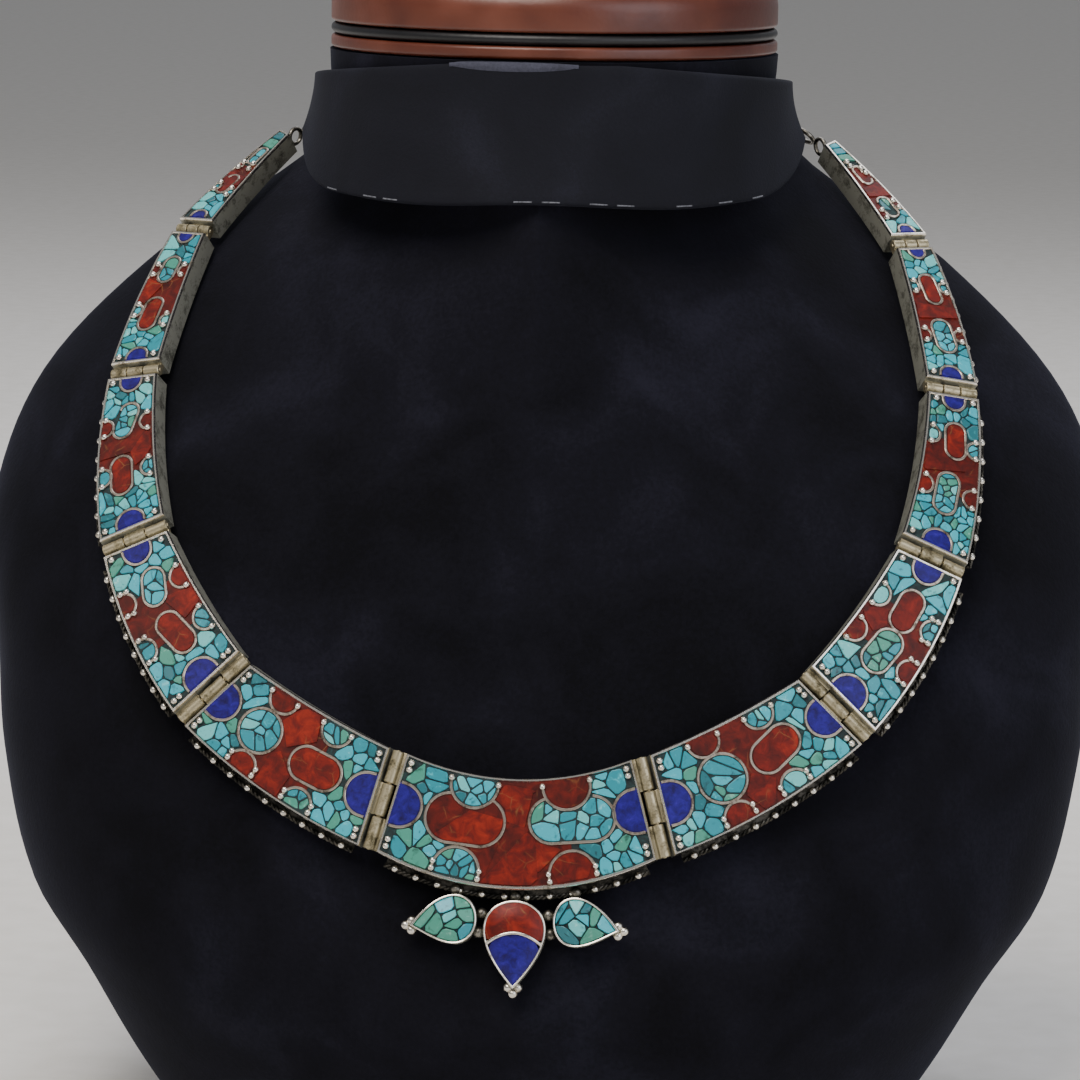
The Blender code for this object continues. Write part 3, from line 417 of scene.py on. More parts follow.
def stone_dust_grout(name, dark, body, dust):
    """Resin packed with stone dust between the chips: dark, matt and gritty."""
    material, shader, place = start_material(name, Roughness=0.7)
    grit = add_node(material, "ShaderNodeTexNoise",
                    {"Vector": place, "Scale": per_metre(0.7), "Detail": 5.0,
                     "Roughness": 0.7}).outputs["Fac"]
    colour = add_node(material, "ShaderNodeValToRGB", {"Fac": grit},
                      [(0.38, dark), (0.74, dust), (0.56, body)]).outputs["Color"]
    return finish_material(material, shader, colour, grit, 0.5, 0.12)


def cut_pile_cloth(name, shade, body, brushed, sheen, tuft, **values):
    """Cut pile glued over a form: near black, with a soft blue-grey sheen where the pile turns away."""
    material, shader, place = start_material(name, Sheen_Weight=sheen, Sheen_Tint=linear("#8a90ac"),
                                             **values)
    drift = add_node(material, "ShaderNodeTexNoise",
                     {"Vector": place, "Scale": per_metre(28.0), "Detail": 3.0,
                      "Distortion": 0.5}).outputs["Fac"]
    pile = add_node(material, "ShaderNodeTexNoise",
                    {"Vector": place, "Scale": per_metre(tuft), "Detail": 3.0,
                     "Roughness": 0.7}).outputs["Fac"]
    mixed = add_node(material, "ShaderNodeMath", {0: pile, 1: 0.4, 2: drift},
                     operation="MULTIPLY_ADD").outputs[0]
    colour = add_node(material, "ShaderNodeValToRGB", {"Fac": mixed},
                      [(0.52, shade), (0.95, brushed), (0.75, body)]).outputs["Color"]
    return finish_material(material, shader, colour, pile, 0.45, 0.2)


def dyed_hide(name, dark, body, rubbed, **values):
    """Smooth dyed hide drawn over a form: fine pebbled grain and rubbed, brighter places."""
    material, shader, place = start_material(name, **values)
    rubbing = add_node(material, "ShaderNodeTexNoise",
                       {"Vector": place, "Scale": per_metre(24.0), "Detail": 3.0}).outputs["Fac"]
    colour = add_node(material, "ShaderNodeValToRGB", {"Fac": rubbing},
                      [(0.34, dark), (0.7, rubbed), (0.52, body)]).outputs["Color"]
    # hide pores are about 0.3 mm apart; they are drawn at 0.9 mm so that they show
    pebbles = add_node(material, "ShaderNodeTexVoronoi", {"Vector": place, "Scale": per_metre(0.9)},
                       feature="SMOOTH_F1").outputs["Distance"]
    return finish_material(material, shader, colour, pebbles, 0.3, 0.1)


def grained_paint(name, low, high, grain, roughness):
    """One matt tone broken only by a fine grain: painted board, or spun cotton thread."""
    material, shader, place = start_material(name, Roughness=roughness)
    speckle = add_node(material, "ShaderNodeTexNoise",
                       {"Vector": place, "Scale": per_metre(grain), "Detail": 3.0}).outputs["Fac"]
    colour = add_node(material, "ShaderNodeValToRGB", {"Fac": speckle}, [(0.35, low), (0.65, high)])
    return finish_material(material, shader, colour.outputs["Color"], speckle, 0.1, 0.1)


RIM_SILVER = silver_alloy("silver_filed_bright", "#ece6da", "#cbc3b4", "#8a8272", 0.22, 0.42, 0.5)
# a tarnish film scatters light on the walls, so they look grey where bare metal would mirror the velvet
WALL_SILVER = silver_alloy("silver_satin_greyed", "#a9a99c", "#85857a", "#57564c", 0.36, 0.52, 0.54, 0.6)
DARK_SILVER = silver_alloy("silver_oxidised_black", "#605c54", "#3a3832", "#1a1917", 0.45, 0.62, 0.62, 0.8)
HINGE_SILVER = silver_alloy("silver_rolled_brassy", "#bcb192", "#978d70", "#5b543e", 0.38, 0.56, 0.56, 0.85)
RIBBON_SILVER = silver_alloy("silver_strip_pinkish", "#c2b6a8", "#95897d", "#5c534a", 0.32, 0.5, 0.54)
CHAIN_SILVER = silver_alloy("silver_drawn_dull", "#8d8980", "#5f5b53", "#2f2c28", 0.35, 0.5, 0.56)
TURQUOISES = (
    ground_turquoise("turquoise_sky", "#86d8e0", "#35aebf", "#16727f"),
    ground_turquoise("turquoise_pale", "#a9e4df", "#66c6c6", "#2f8d92"),
    ground_turquoise("turquoise_full", "#52c6d2", "#188c9b", "#0e5561"),
    ground_turquoise("turquoise_green", "#84c3ae", "#3f947f", "#235a4a"),
    ground_turquoise("turquoise_deep", "#3f9fa4", "#146a74", "#0a3b42"),
)
TURQUOISE_SHARES = (0.36, 0.14, 0.28, 0.12, 0.1)
GREENISH_SHARES = (0.08, 0.1, 0.05, 0.72, 0.05)
CORALS = (
    ground_coral("coral_brick", "#3f0904", "#641005", "#8a1e0a"),
    ground_coral("coral_warm", "#4b0b05", "#711406", "#9a260d"),
    ground_coral("coral_deep", "#340804", "#540e05", "#73180a"),
)
CORAL_SHARES = (0.5, 0.3, 0.2)
LAPIS = ground_lapis("lapis_deep_blue")
TURQUOISE_GROUT = stone_dust_grout("turquoise_dust_grout", "#061416", "#0d2a2c", "#1f4a49")
VELVET = cut_pile_cloth("cotton_velvet", "#0b0b0f", "#13131a", "#1d1d27", 0.12, 0.9, Roughness=0.95,
                        Sheen_Roughness=0.4, Specular_IOR_Level=0.1)
STRAP_CLOTH = cut_pile_cloth("flocked_strap_cloth", "#0e0f15", "#14151d", "#1e1f29", 0.08, 0.6,
                             Roughness=0.85, Sheen_Roughness=0.5, Specular_IOR_Level=0.2)
# pale grey-lilac cloth for the strap's upper fold: painted sheen, standing in for the highlight where light
# grazes the pile
PAINTED_SHEEN_CLOTH = cut_pile_cloth("flocked_cloth_painted_sheen", "#34353f", "#4b4c5a", "#646576", 0.1, 0.6,
                            Roughness=0.85, Sheen_Roughness=0.5, Specular_IOR_Level=0.2)
CAP_HIDE = dyed_hide("hide_copper_brown", "#4a1e13", "#62301f", "#7b4535", Roughness=0.36,
                     Coat_Weight=0.15, Coat_Roughness=0.3)
PIPING_HIDE = dyed_hide("hide_black_piping", "#09090b", "#121215", "#202025", Roughness=0.42)
THREAD = grained_paint("cotton_thread_grey", "#4c4e55", "#777981", 0.5, 0.8)
FLOOR_PAINT = grained_paint("matt_floor_paint", "#e3e0da", "#e9e6e1", 9.0, 0.8)

STONES = TURQUOISES + CORALS + (LAPIS, TURQUOISE_GROUT)
FIRST_CORAL = len(TURQUOISES)
LAPIS_SLOT = FIRST_CORAL + len(CORALS)
TURQUOISE_GROUT_SLOT = LAPIS_SLOT + 1
CORAL_BED_SLOT = LAPIS_SLOT - 1
SILVERS = (RIM_SILVER, WALL_SILVER, DARK_SILVER, HINGE_SILVER, RIBBON_SILVER, CHAIN_SILVER)
BRIGHT, SATIN, OXIDISED, BRASSY, STRIP, DULL = range(len(SILVERS))


# Meshes

def object_from(bm, name, surfaces, placed=Matrix.Identity(4), body="root", replaces=(), smooth_angle=40):
    """Turn a bmesh in millimetres into an object in metres that rides on a body."""
    bmesh.ops.transform(bm, matrix=Matrix.Scale(MM, 4) @ DATUM @ placed, verts=bm.verts)
    bmesh.ops.recalc_face_normals(bm, faces=bm.faces)
    mesh = bpy.data.meshes.new(name)
    bm.to_mesh(mesh)
    bm.free()
    for surface in surfaces:
        mesh.materials.append(surface)
    mesh.shade_smooth()
    mesh.set_sharp_from_angle(angle=math.radians(smooth_angle))
    made = bpy.data.objects.new(name, mesh)
    bpy.context.scene.collection.objects.link(made)
    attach(made, body)
    if replaces:
        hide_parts(*replaces)
    return made


def add_strips(bm, rows, surface):
    """Quads between closed rows; surface is a material index, or a function of the band and place in it."""
    count = len(rows[0])
    for band, (row, after) in enumerate(zip(rows, rows[1:])):
        for index in range(count):
            following = (index + 1) % count
            face = bm.faces.new((row[index], row[following], after[following], after[index]))
            face.material_index = surface(band, index) if callable(surface) else surface


def add_loft(bm, rings, surface=0, cap_surface=None):
    """Closed rings of equal length, joined in order and capped at both ends."""
    rows = [[bm.verts.new(point) for point in ring] for ring in rings]
    add_strips(bm, rows, surface)
    for row in (rows[0], rows[-1]):
        bm.faces.new(row).material_index = surface if cap_surface is None else cap_surface


def make_loft(name, rings, surface, **settings):
    """An object of one material that is lofted through its rings."""
    bm = bmesh.new()
    add_loft(bm, rings)
    return object_from(bm, name, [surface], **settings)


def add_prism(bm, outline, low, high, surface=0):
    add_loft(bm, [[(x, y, low) for x, y in outline], [(x, y, high) for x, y in outline]], surface)


def turns(count):
    """Angles in even steps once round."""
    return [2 * math.pi * k / count for k in range(count)]


def directions(path, closed):
    """The unit direction of a path at each of its points."""
    last = len(path) - 1
    found = []
    for index in range(len(path)):
        before = path[index - 1] if closed or index else path[0]
        after = path[(index + 1) % len(path)] if closed or index < last else path[last]
        found.append((after - before).normalized())
    return found


def add_tube(bm, rows, surface, closed):
    """Rows of points as a tube, joined end to end or capped."""
    rows = [[bm.verts.new(point) for point in row] for row in rows]
    add_strips(bm, rows + rows[:1] if closed else rows, surface)
    if not closed:
        for row in (rows[0], rows[-1]):
            bm.faces.new(row).material_index = surface


def add_sweep(bm, path, section, surface=0, closed=False):
    """A section of (across, up) points swept along a path in the x-y plane, square to it."""
    rows = []
    for point, along in zip(path, directions(path, closed)):
        across = Vector((along.y, -along.x))
        rows.append([(*(point + across * reach), height) for reach, height in section])
    add_tube(bm, rows, surface, closed)


def add_wire(bm, points, radius, sides=8, surface=0, closed=False, upwards=Vector((0, 0, 1))):
    """A round wire along points in space; upwards is never in line with it."""
    rows = []
    for point, along in zip(points, directions(points, closed)):
        across = along.cross(upwards).normalized() * radius
        high = across.cross(along)
        rows.append([point + across * math.cos(angle) + high * math.sin(angle) for angle in turns(sides)])
    add_tube(bm, rows, surface, closed)


def add_ball(bm, centre, radius, surface=0, around=12, rings=8):
    made = bmesh.ops.create_uvsphere(bm, u_segments=around, v_segments=rings, radius=radius,
                                     matrix=Matrix.Translation(centre))
    for face in {face for vertex in made["verts"] for face in vertex.link_faces}:
        face.material_index = surface


# Box outlines, in each box's own frame: x along its chord from the near to the far hinge, and y towards
# the neck

def arc(start, end, rise, steps):
    """Points from start to end on a circle that stands rise clear of the chord, on its right-hand side."""
    chord = end - start
    half = chord.length / 2
    side = Vector((chord.y, -chord.x)).normalized()
    radius = (half * half + rise * rise) / (2 * rise)
    centre = start + chord / 2 - side * (radius - rise)
    sweep = math.asin(half / radius)
    points = []
    for step in range(steps + 1):
        angle = sweep * (2 * step / steps - 1)
        offset = side * (radius * math.cos(angle)) + chord.normalized() * (radius * math.sin(angle))
        points.append(centre + offset)
    return points


def box_length(box):
    return CENTRE_LENGTH if box.number == 1 else SIDE_LENGTH * box.length


def near_width(box):
    if box.number <= 2:
        return BAND_WIDTH
    return BAND_WIDTH * SIDE_BOXES[box.number - 3].far_width


def width_at(box, u):
    return near_width(box) + (BAND_WIDTH * box.far_width - near_width(box)) * u


def box_corner(box, far, inner, inset):
    """One corner of a box, drawn in from its edges by inset."""
    half_wedge = math.radians(box.wedge / 2)
    end = 1 if far else -1
    towards_neck = Vector((-end * math.sin(half_wedge), math.cos(half_wedge)))
    into_box = Vector((-end * math.cos(half_wedge), -math.sin(half_wedge)))
    hinge = Vector((end * box_length(box) / 2, 0.0))
    reach = (width_at(box, far) / 2 - inset) * (1 if inner else -1)
    return hinge + into_box * (HINGE_GAP / 2 + inset) + towards_neck * reach


def long_edge(box, inner, inset):
    """The inner or outer edge of a box, from its near to its far end."""
    near = box_corner(box, False, inner, inset)
    far = box_corner(box, True, inner, inset)
    full = (box_corner(box, True, inner, 0) - box_corner(box, False, inner, 0)).length
    bow = EDGE_BOW * (box.inner_bow if inner else box.outer_bow)
    return arc(near, far, bow * ((far - near).length / full) ** 2, ARC_STEPS)


def box_outline(box, inset=0.0):
    return long_edge(box, True, inset) + long_edge(box, False, inset)[::-1]


def on_edge(points, share):
    """The place at a share of the way along a path of even steps, and the path's direction there."""
    step = min(int(share * (len(points) - 1)), len(points) - 2)
    part = share * (len(points) - 1) - step
    return points[step].lerp(points[step + 1], part), (points[step + 1] - points[step]).normalized()


def place_in_box(box, u, v):
    """A place in a box by its shares: u from the near to the far end, v from the outer to the inner rim."""
    near = box_corner(box, False, False, 0).lerp(box_corner(box, False, True, 0), v)
    far = box_corner(box, True, False, 0).lerp(box_corner(box, True, True, 0), v)
    bow = EDGE_BOW * (box.outer_bow + (box.inner_bow - box.outer_bow) * v)
    return near.lerp(far, u) - Vector((0, bow * 4 * u * (1 - u)))


def hinged_ends(box):
    """Which ends of a box have a hinge: False is the near one and True the far one."""
    return (False,) if box is SIDE_BOXES[-1] else (False, True)


def turned(angle, axis):
    return Matrix.Rotation(math.radians(angle), 4, axis)


def collar_frames():
    """Frames of the right half: box frames by number, and the hinge frames before their folds."""
    boxes = {1: Matrix.Translation((0, 0, COLLAR_HEIGHT)) @ turned(90 - COLLAR_LEAN, "X")}
    hinges = {}
    box = CENTRE_BOX
    for after in SIDE_BOXES:
        to_pin = Matrix.Translation((box_length(box) / 2, 0, -PIN_DEPTH))
        hinge = boxes[box.number] @ to_pin @ turned(box.wedge / 2, "Z")
        hinges[box.number] = hinge
        to_middle = Matrix.Translation((box_length(after) / 2, 0, PIN_DEPTH))
        boxes[after.number] = hinge @ turned(after.fold, "Y") @ turned(after.wedge / 2, "Z") @ to_middle
        box = after
    to_end = Matrix.Translation((box_length(box) / 2, 0, -PIN_DEPTH))
    hinges[box.number] = boxes[box.number] @ to_end @ turned(box.wedge / 2, "Z")
    return boxes, hinges


BOX_FRAMES, HINGE_FRAMES = collar_frames()
NECK_CENTRE = NECK_BACK - NECK_RADIUS
NECK_TOP = HINGE_FRAMES[len(SIDE_BOXES) + 1].translation.z + NECK_START + NECK_LENGTH


def on_side(placed, side):
    """The frame of a right-hand piece as it is, or mirrored to the left."""
    return placed if side > 0 else MIRROR @ placed


# Silver boxes

TRAY_SECTION = ((0.3, -BOX_DEPTH), (0.0, 0.3 - BOX_DEPTH), (0.0, -0.35), (0.06, -0.1), (0.2, RIM_TOP),
                (0.48, RIM_TOP), (0.62, -0.08), (RIM_WIDTH, CHIP_FOOT), (RIM_WIDTH, CHIP_FOOT - 0.3))


def wall_surface(band, index):
    """Material of a box's walls: oxidised along the outer edge, satin elsewhere, bright on the rim."""
    if band >= 2:
        return BRIGHT if band < 6 else OXIDISED
    return OXIDISED if ARC_STEPS < index <= 2 * ARC_STEPS else SATIN


def add_tray(bm, box):
    rings = []
    for inset, height in TRAY_SECTION:
        rings.append([(x, y, height) for x, y in box_outline(box, inset)])
    add_loft(bm, rings, wall_surface, OXIDISED)


def knuckle_spans(width):
    """Start and end of the three knuckles along a hinge line."""
    third = width / 3
    half_gap = KNUCKLE_CLEARANCE / 2
    return [(-width / 2 + third * k + half_gap, -width / 2 + third * (k + 1) - half_gap) for k in range(3)]


def add_knuckle(bm, placed, start, end, towards):
    """A rolled knuckle along y, with its tail reaching the box that lies on the towards side in x."""
    reach = HINGE_GAP / 2 + RIM_WIDTH / 2
    first = math.asin(KNUCKLE_TAIL)
    sweep = 1.5 * math.pi - first
    end_radius = KNUCKLE_RADIUS - KNUCKLE_CHAMFER
    rings = []
    for y, radius in ((start, end_radius), (start + KNUCKLE_CHAMFER, KNUCKLE_RADIUS),
                      (end - KNUCKLE_CHAMFER, KNUCKLE_RADIUS), (end, end_radius)):
        ring = [placed @ Vector((towards * reach, y, radius * KNUCKLE_TAIL))]
        for step in range(KNUCKLE_STEPS + 1):
            angle = first + sweep * step / KNUCKLE_STEPS
            ring.append(placed @ Vector((towards * radius * math.cos(angle), y, radius * math.sin(angle))))
        ring.append(placed @ Vector((towards * reach, y, -radius)))
        rings.append(ring)
    add_loft(bm, rings, BRASSY)


def hinge_in_box(box, far):
    """A hinge's frame as its box sees it."""
    end = 1 if far else -1
    at_pin = Matrix.Translation((end * box_length(box) / 2, 0, -PIN_DEPTH))
    return at_pin @ turned(end * box.wedge / 2, "Z")


def add_box_knuckles(bm, box):
    """Boxes of odd number carry the outer two knuckles at each hinge, and even ones the middle knuckle."""
    own = (0, 2) if box.number % 2 == 1 else (1,)
    for far in hinged_ends(box):
        spans = knuckle_spans(width_at(box, far))
        for index in own:
            add_knuckle(bm, hinge_in_box(box, far), *spans[index], -1 if far else 1)


def add_outer_wall_work(bm, box):
    """A narrow ledge along the outer wall with a twisted wire on its edge and a row of granules over it."""
    wall = long_edge(box, False, 0.0)[1:-1]
    length = sum((two - one).length for one, two in zip(wall, wall[1:]))
    ledge_top = -GRANULE_DEPTH - GRANULE_RADIUS
    ledge_foot = ledge_top - LEDGE_HEIGHT
    ledge = ((LEDGE_ROOT, ledge_foot), (LEDGE_WIDTH, ledge_foot), (LEDGE_WIDTH, ledge_top),
             (LEDGE_ROOT, ledge_top))
    add_sweep(bm, wall, ledge, OXIDISED)
    count = int(length / GRANULE_PITCH)
    for index in range(count):
        place, along = on_edge(wall, (index + 0.5) / count)
        place = place + Vector((along.y, -along.x)) * GRANULE_STAND_OFF
        add_ball(bm, (*place, -GRANULE_DEPTH), GRANULE_RADIUS, BRIGHT)
    steps = int(length * TWIST_STEPS)
    for strand in range(2):
        points = []
        for step in range(steps + 1):
            place, along = on_edge(wall, step / steps)
            angle = 2 * math.pi * length * step / steps / TWIST_PITCH + math.pi * strand
            out = LEDGE_WIDTH - TWIST_WIRE + TWIST_WIRE * math.cos(angle)
            place = place + Vector((along.y, -along.x)) * out
            points.append(Vector((*place, ledge_top + TWIST_WIRE * (1 + math.sin(angle)))))
        add_wire(bm, points, TWIST_WIRE, 6, OXIDISED)


def ring_path(length, width, wire, steps=28):
    """The middle line of a wire link with round ends; sizes are outer ones."""
    radius = width / 2 - wire
    points = []
    for step in range(steps):
        angle = 2 * math.pi * (step + 0.5) / steps
        shift = math.copysign((length - width) / 2, math.cos(angle))
        points.append(Vector((radius * math.cos(angle) + shift, radius * math.sin(angle), 0)))
    return points


def add_link(bm, placed, length, width, wire):
    """A closed wire link in the frame's x-y plane."""
    points = [placed @ point for point in ring_path(length, width, wire)]
    add_wire(bm, points, wire, 9, DULL, closed=True, upwards=placed.to_3x3() @ Vector((0, 0, 1)))


def make_tray(box, side, name, body):
    """One box in silver; the last of a side has the end eye, and the centre box the settings."""
    bm = bmesh.new()
    add_tray(bm, box)
    add_box_knuckles(bm, box)
    add_outer_wall_work(bm, box)
    if box == SIDE_BOXES[-1]:
        outer = 2 * (END_EYE_RADIUS + END_EYE_WIRE)
        middle = Vector((box_length(box) / 2 - HINGE_GAP / 2 + END_EYE_RADIUS, 0, -BOX_DEPTH / 2))
        add_link(bm, Matrix.Translation(middle) @ turned(90, "X"), outer, outer, END_EYE_WIRE)
    if box.number == 1:
        add_settings(bm)
    object_from(bm, "silver_" + name, SILVERS, on_side(BOX_FRAMES[box.number], side), body, [name])


def make_pin(number, side, body):
    """A hinge pin with both ends closed to small domes."""
    half = width_at(SIDE_BOXES[number - 1], 0) / 2
    rings = []
    for y, radius in ((-half, PIN_END_RADIUS), (PIN_CHAMFER - half, PIN_RADIUS),
                      (half - PIN_CHAMFER, PIN_RADIUS), (half, PIN_END_RADIUS)):
        rings.append([(radius * math.cos(angle), y, radius * math.sin(angle)) for angle in turns(PIN_SIDES)])
    name = f"pin_{SIDE_NAMES[side]}_{number}"
    make_loft("drawn_" + name, rings, HINGE_SILVER, placed=on_side(HINGE_FRAMES[number], side), body=body,
              replaces=[name])


# Stone cells

def clipped(polygon, point, outwards):
    """The part of a polygon that lies behind a line through a point."""
    kept = []
    for one, two in zip(polygon, polygon[1:] + polygon[:1]):
        ahead_one = (one - point).dot(outwards)
        ahead_two = (two - point).dot(outwards)
        if ahead_one <= 0:
            kept.append(one)
        if ahead_one * ahead_two < 0:
            kept.append(one.lerp(two, ahead_one / (ahead_one - ahead_two)))
    return kept


def within(polygon, point):
    """Whether a point lies in a polygon."""
    inside = False
    for one, two in zip(polygon, polygon[1:] + polygon[:1]):
        if (one.y > point.y) != (two.y > point.y):
            if point.x < one.x + (two.x - one.x) * (point.y - one.y) / (two.y - one.y):
                inside = not inside
    return inside


def nearest_on(polygon, point):
    """The nearest place of a polygon's outline to a point."""
    nearest = polygon[0]
    for one, two in zip(polygon, polygon[1:] + polygon[:1]):
        edge = two - one
        share = (point - one).dot(edge) / max(edge.length_squared, 1e-9)
        place = one + edge * min(max(share, 0), 1)
        if (place - point).length_squared < (nearest - point).length_squared:
            nearest = place
    return nearest


def distance_to(polygon, point):
    return (nearest_on(polygon, point) - point).length


def turning_area(polygon):
    """Area of a polygon, positive where it runs anticlockwise."""
    return sum(one.cross(two) for one, two in zip(polygon, polygon[1:] + polygon[:1])) / 2


def chip_seeds(region, holes, size, chance):
    """Middles of chips: a shaken honeycomb with some places left out, clear of edges and holes."""
    low = Vector((min(point.x for point in region), min(point.y for point in region)))
    high = Vector((max(point.x for point in region), max(point.y for point in region)))
    seeds = []
    for row in range(int((high.y - low.y) / (size * ROW_PITCH)) + 1):
        for column in range(int((high.x - low.x) / size) + 2):
            shake = Vector((chance.uniform(-SEED_SHAKE, SEED_SHAKE), chance.uniform(-SEED_SHAKE, SEED_SHAKE)))
            step = Vector((column + 0.5 * (row % 2), FIRST_ROW + ROW_PITCH * row))
            seed = low + (step + shake) * size
            if not within(region, seed) or distance_to(region, seed) <= size * EDGE_ROOM:
                continue
            if any(within(hole, seed) or distance_to(hole, seed) <= size * HOLE_ROOM for hole in holes):
                continue
            if chance.random() > SEED_LOSS:
                seeds.append(seed)
    return seeds or [sum(region, Vector((0, 0))) / len(region)]


def chip_cells(region, holes, size, gap, chance):
    """Chips that fill a region round its holes, each cut off halfway to its neighbours."""
    seeds = chip_seeds(region, holes, size, chance)
    outer_side = 1 if turning_area(region) > 0 else -1
    reach = size * CELL_REACH
    cells = []
    for seed in seeds:
        cell = [seed + Vector(corner) * reach for corner in ((-1, -1), (1, -1), (1, 1), (-1, 1))]
        for other in seeds:
            between = other - seed
            if 0 < between.length < reach * NEIGHBOUR_REACH:
                towards = between.normalized()
                cell = clipped(cell, seed + between / 2 - towards * gap / 2, towards)
        for one, two in zip(region, region[1:] + region[:1]):
            edge = two - one
            if edge.length > 1e-6 and distance_to([one, two], seed) < reach:
                cell = clipped(cell, one, Vector((edge.y, -edge.x)).normalized() * outer_side)
        for hole in holes:
            touch = nearest_on(hole, seed)
            if 1e-6 < (touch - seed).length < reach:
                cell = clipped(cell, touch, (touch - seed).normalized())
        if len(cell) > 2 and abs(turning_area(cell)) > SMALLEST_CHIP:
            cells.append(cell)
    return cells


def worn_corners(cell, share):
    """A cell with each corner cut off once."""
    softened = []
    for one, two in zip(cell, cell[1:] + cell[:1]):
        softened.append(one.lerp(two, share))
        softened.append(one.lerp(two, 1 - share))
    return softened


def add_chip(bm, cell, surface, chance, foot=CHIP_FOOT, top=CHIP_TOP, edge=0.2, dome=None, tilt=0.03,
             corner=0.19):
    """A flat-ground chip with softened corners and edges, lying a little askew."""
    cell = worn_corners(cell, corner * chance.uniform(0.75, 1.25))
    middle = sum(cell, Vector((0, 0))) / len(cell)
    slope = Vector((chance.uniform(-tilt, tilt), chance.uniform(-tilt, tilt)))
    top = top + chance.uniform(-CHIP_UNEVENNESS, CHIP_UNEVENNESS)
    rings = [[(*point, foot) for point in cell]]
    for inset, height in ((0, top - edge), (edge * 0.35, top - edge * 0.35), (edge, top)):
        ring = []
        for point in cell:
            inwards = middle - point
            place = point + inwards.normalized() * min(inset, inwards.length * 0.6)
            rise = (place - middle).dot(slope) + (dome(place) if dome else 0)
            ring.append((*place, height + rise))
        rings.append(ring)
    add_loft(bm, rings, surface)


def lay_turquoise(bm, region, holes, chance, size=TURQUOISE_CHIP, shares=TURQUOISE_SHARES, **settings):
    """Turquoise chips over a region, with room for the grout between them."""
    for cell in chip_cells(region, holes, size, TURQUOISE_GAP, chance):
        tone = chance.choices(range(len(TURQUOISES)), shares)[0]
        add_chip(bm, cell, tone, chance, **settings)


def lay_coral(bm, region, holes, chance):
    """Pressed coral over a region: large chips that touch."""
    for cell in chip_cells(region, holes, CORAL_CHIP, CORAL_GAP, chance):
        tone = FIRST_CORAL + chance.choices(range(len(CORALS)), CORAL_SHARES)[0]
        add_chip(bm, cell, tone, chance, edge=0.02, tilt=0.002, corner=0.02)


def fill_cell(bm, coral, outline, bed, inside, holes, chance, size):
    """A cell with its own ribbon: stone dust or pressed coral up to its bed, and chips inside."""
    add_prism(bm, outline, CHIP_FOOT, bed, CORAL_BED_SLOT if coral else TURQUOISE_GROUT_SLOT)
    if coral:
        lay_coral(bm, inside, holes, chance)
    else:
        lay_turquoise(bm, inside, holes, chance, size)


# Inlay

def kidney_outline(box, kidney, grow=0.0):
    """A kidney of stone: two round ends of one radius joined by straight sides."""
    near = place_in_box(box, kidney.u_near, kidney.v_near)
    far = place_in_box(box, kidney.u_far, kidney.v_far)
    radius = kidney.radius * width_at(box, (kidney.u_near + kidney.u_far) / 2) + grow
    first = math.atan2(far.y - near.y, far.x - near.x) - math.pi / 2
    outline = []
    for k in range(KIDNEY_POINTS):
        angle = first + 2 * math.pi * (k + 0.5) / KIDNEY_POINTS
        end = far if k < KIDNEY_POINTS / 2 else near
        outline.append(end + Vector((math.cos(angle), math.sin(angle))) * radius)
    return outline


Arch = namedtuple("Arch", "foot along inwards radius lift")


def rim_arch(box, inner, u, share):
    """An arch that stands on the inner or outer rim."""
    foot, along = on_edge(long_edge(box, inner, RIM_WIDTH), u)
    inwards = Vector((along.y, -along.x)) * (1 if inner else -1)
    radius = share * width_at(box, u)
    return Arch(foot, along, inwards, radius, radius * ARCH_LIFT)


def end_moon(box, far):
    """The arch of lapis that stands on a box's end rim."""
    low = box_corner(box, far, False, RIM_WIDTH)
    high = box_corner(box, far, True, RIM_WIDTH)
    along = (high - low).normalized()
    inwards = Vector((along.y, -along.x)) * (-1 if far else 1)
    radius = MOON_RADIUS * width_at(box, far)
    return Arch(low.lerp(high, 0.5), along, inwards, radius, radius * MOON_LIFT)


def arch_outline(arch, grow=0.0, sunk=0.3):
    """An arch as a closed outline whose feet reach under the rim."""
    radius = arch.radius + grow
    outline = [arch.foot + arch.along * radius - arch.inwards * sunk]
    for k in range(ARCH_POINTS + 1):
        angle = math.pi * k / ARCH_POINTS
        outline.append(arch.foot + arch.inwards * (arch.lift + radius * math.sin(angle))
                       + arch.along * radius * math.cos(angle))
    outline.append(arch.foot - arch.along * radius - arch.inwards * sunk)
    return outline


RIBBON_SECTION = ((-RIBBON_WIDTH / 2, CHIP_FOOT), (-RIBBON_WIDTH / 2, RIBBON_TOP - RIBBON_ROUNDING),
                  (-RIBBON_WIDTH / 4, RIBBON_TOP), (RIBBON_WIDTH / 4, RIBBON_TOP),
                  (RIBBON_WIDTH / 2, RIBBON_TOP - RIBBON_ROUNDING), (RIBBON_WIDTH / 2, CHIP_FOOT))


def add_kidney_ribbon(bm, outline, holes):
    """A silver strip on edge round a kidney, left out where an arch stands in its way."""
    shown = [not any(within(hole, point) for hole in holes) for point in outline]
    if all(shown):
        add_sweep(bm, outline, RIBBON_SECTION, STRIP, closed=True)
        return
    start = shown.index(False)
    outline = outline[start:] + outline[:start]
    shown = shown[start:] + shown[:start]
    run = []
    for point, clear in zip(outline + [None], shown + [False]):
        if clear:
            run.append(point)
        else:
            if len(run) > 2:
                add_sweep(bm, run, RIBBON_SECTION, STRIP)
            run = []


def circle_round(centre, radius, points=10):
    return [centre + Vector((math.cos(angle), math.sin(angle))) * radius for angle in turns(points)]


def arch_granules(arch, count):
    """Granules up each leg of an arch, from its rim."""
    places = []
    for way in (-1, 1):
        for k in range(count):
            up = INLAY_GRANULE * (1.0 + INLAY_GRANULE_PITCH * k)
            places.append(arch.foot + arch.along * way * arch.radius + arch.inwards * up)
    return places


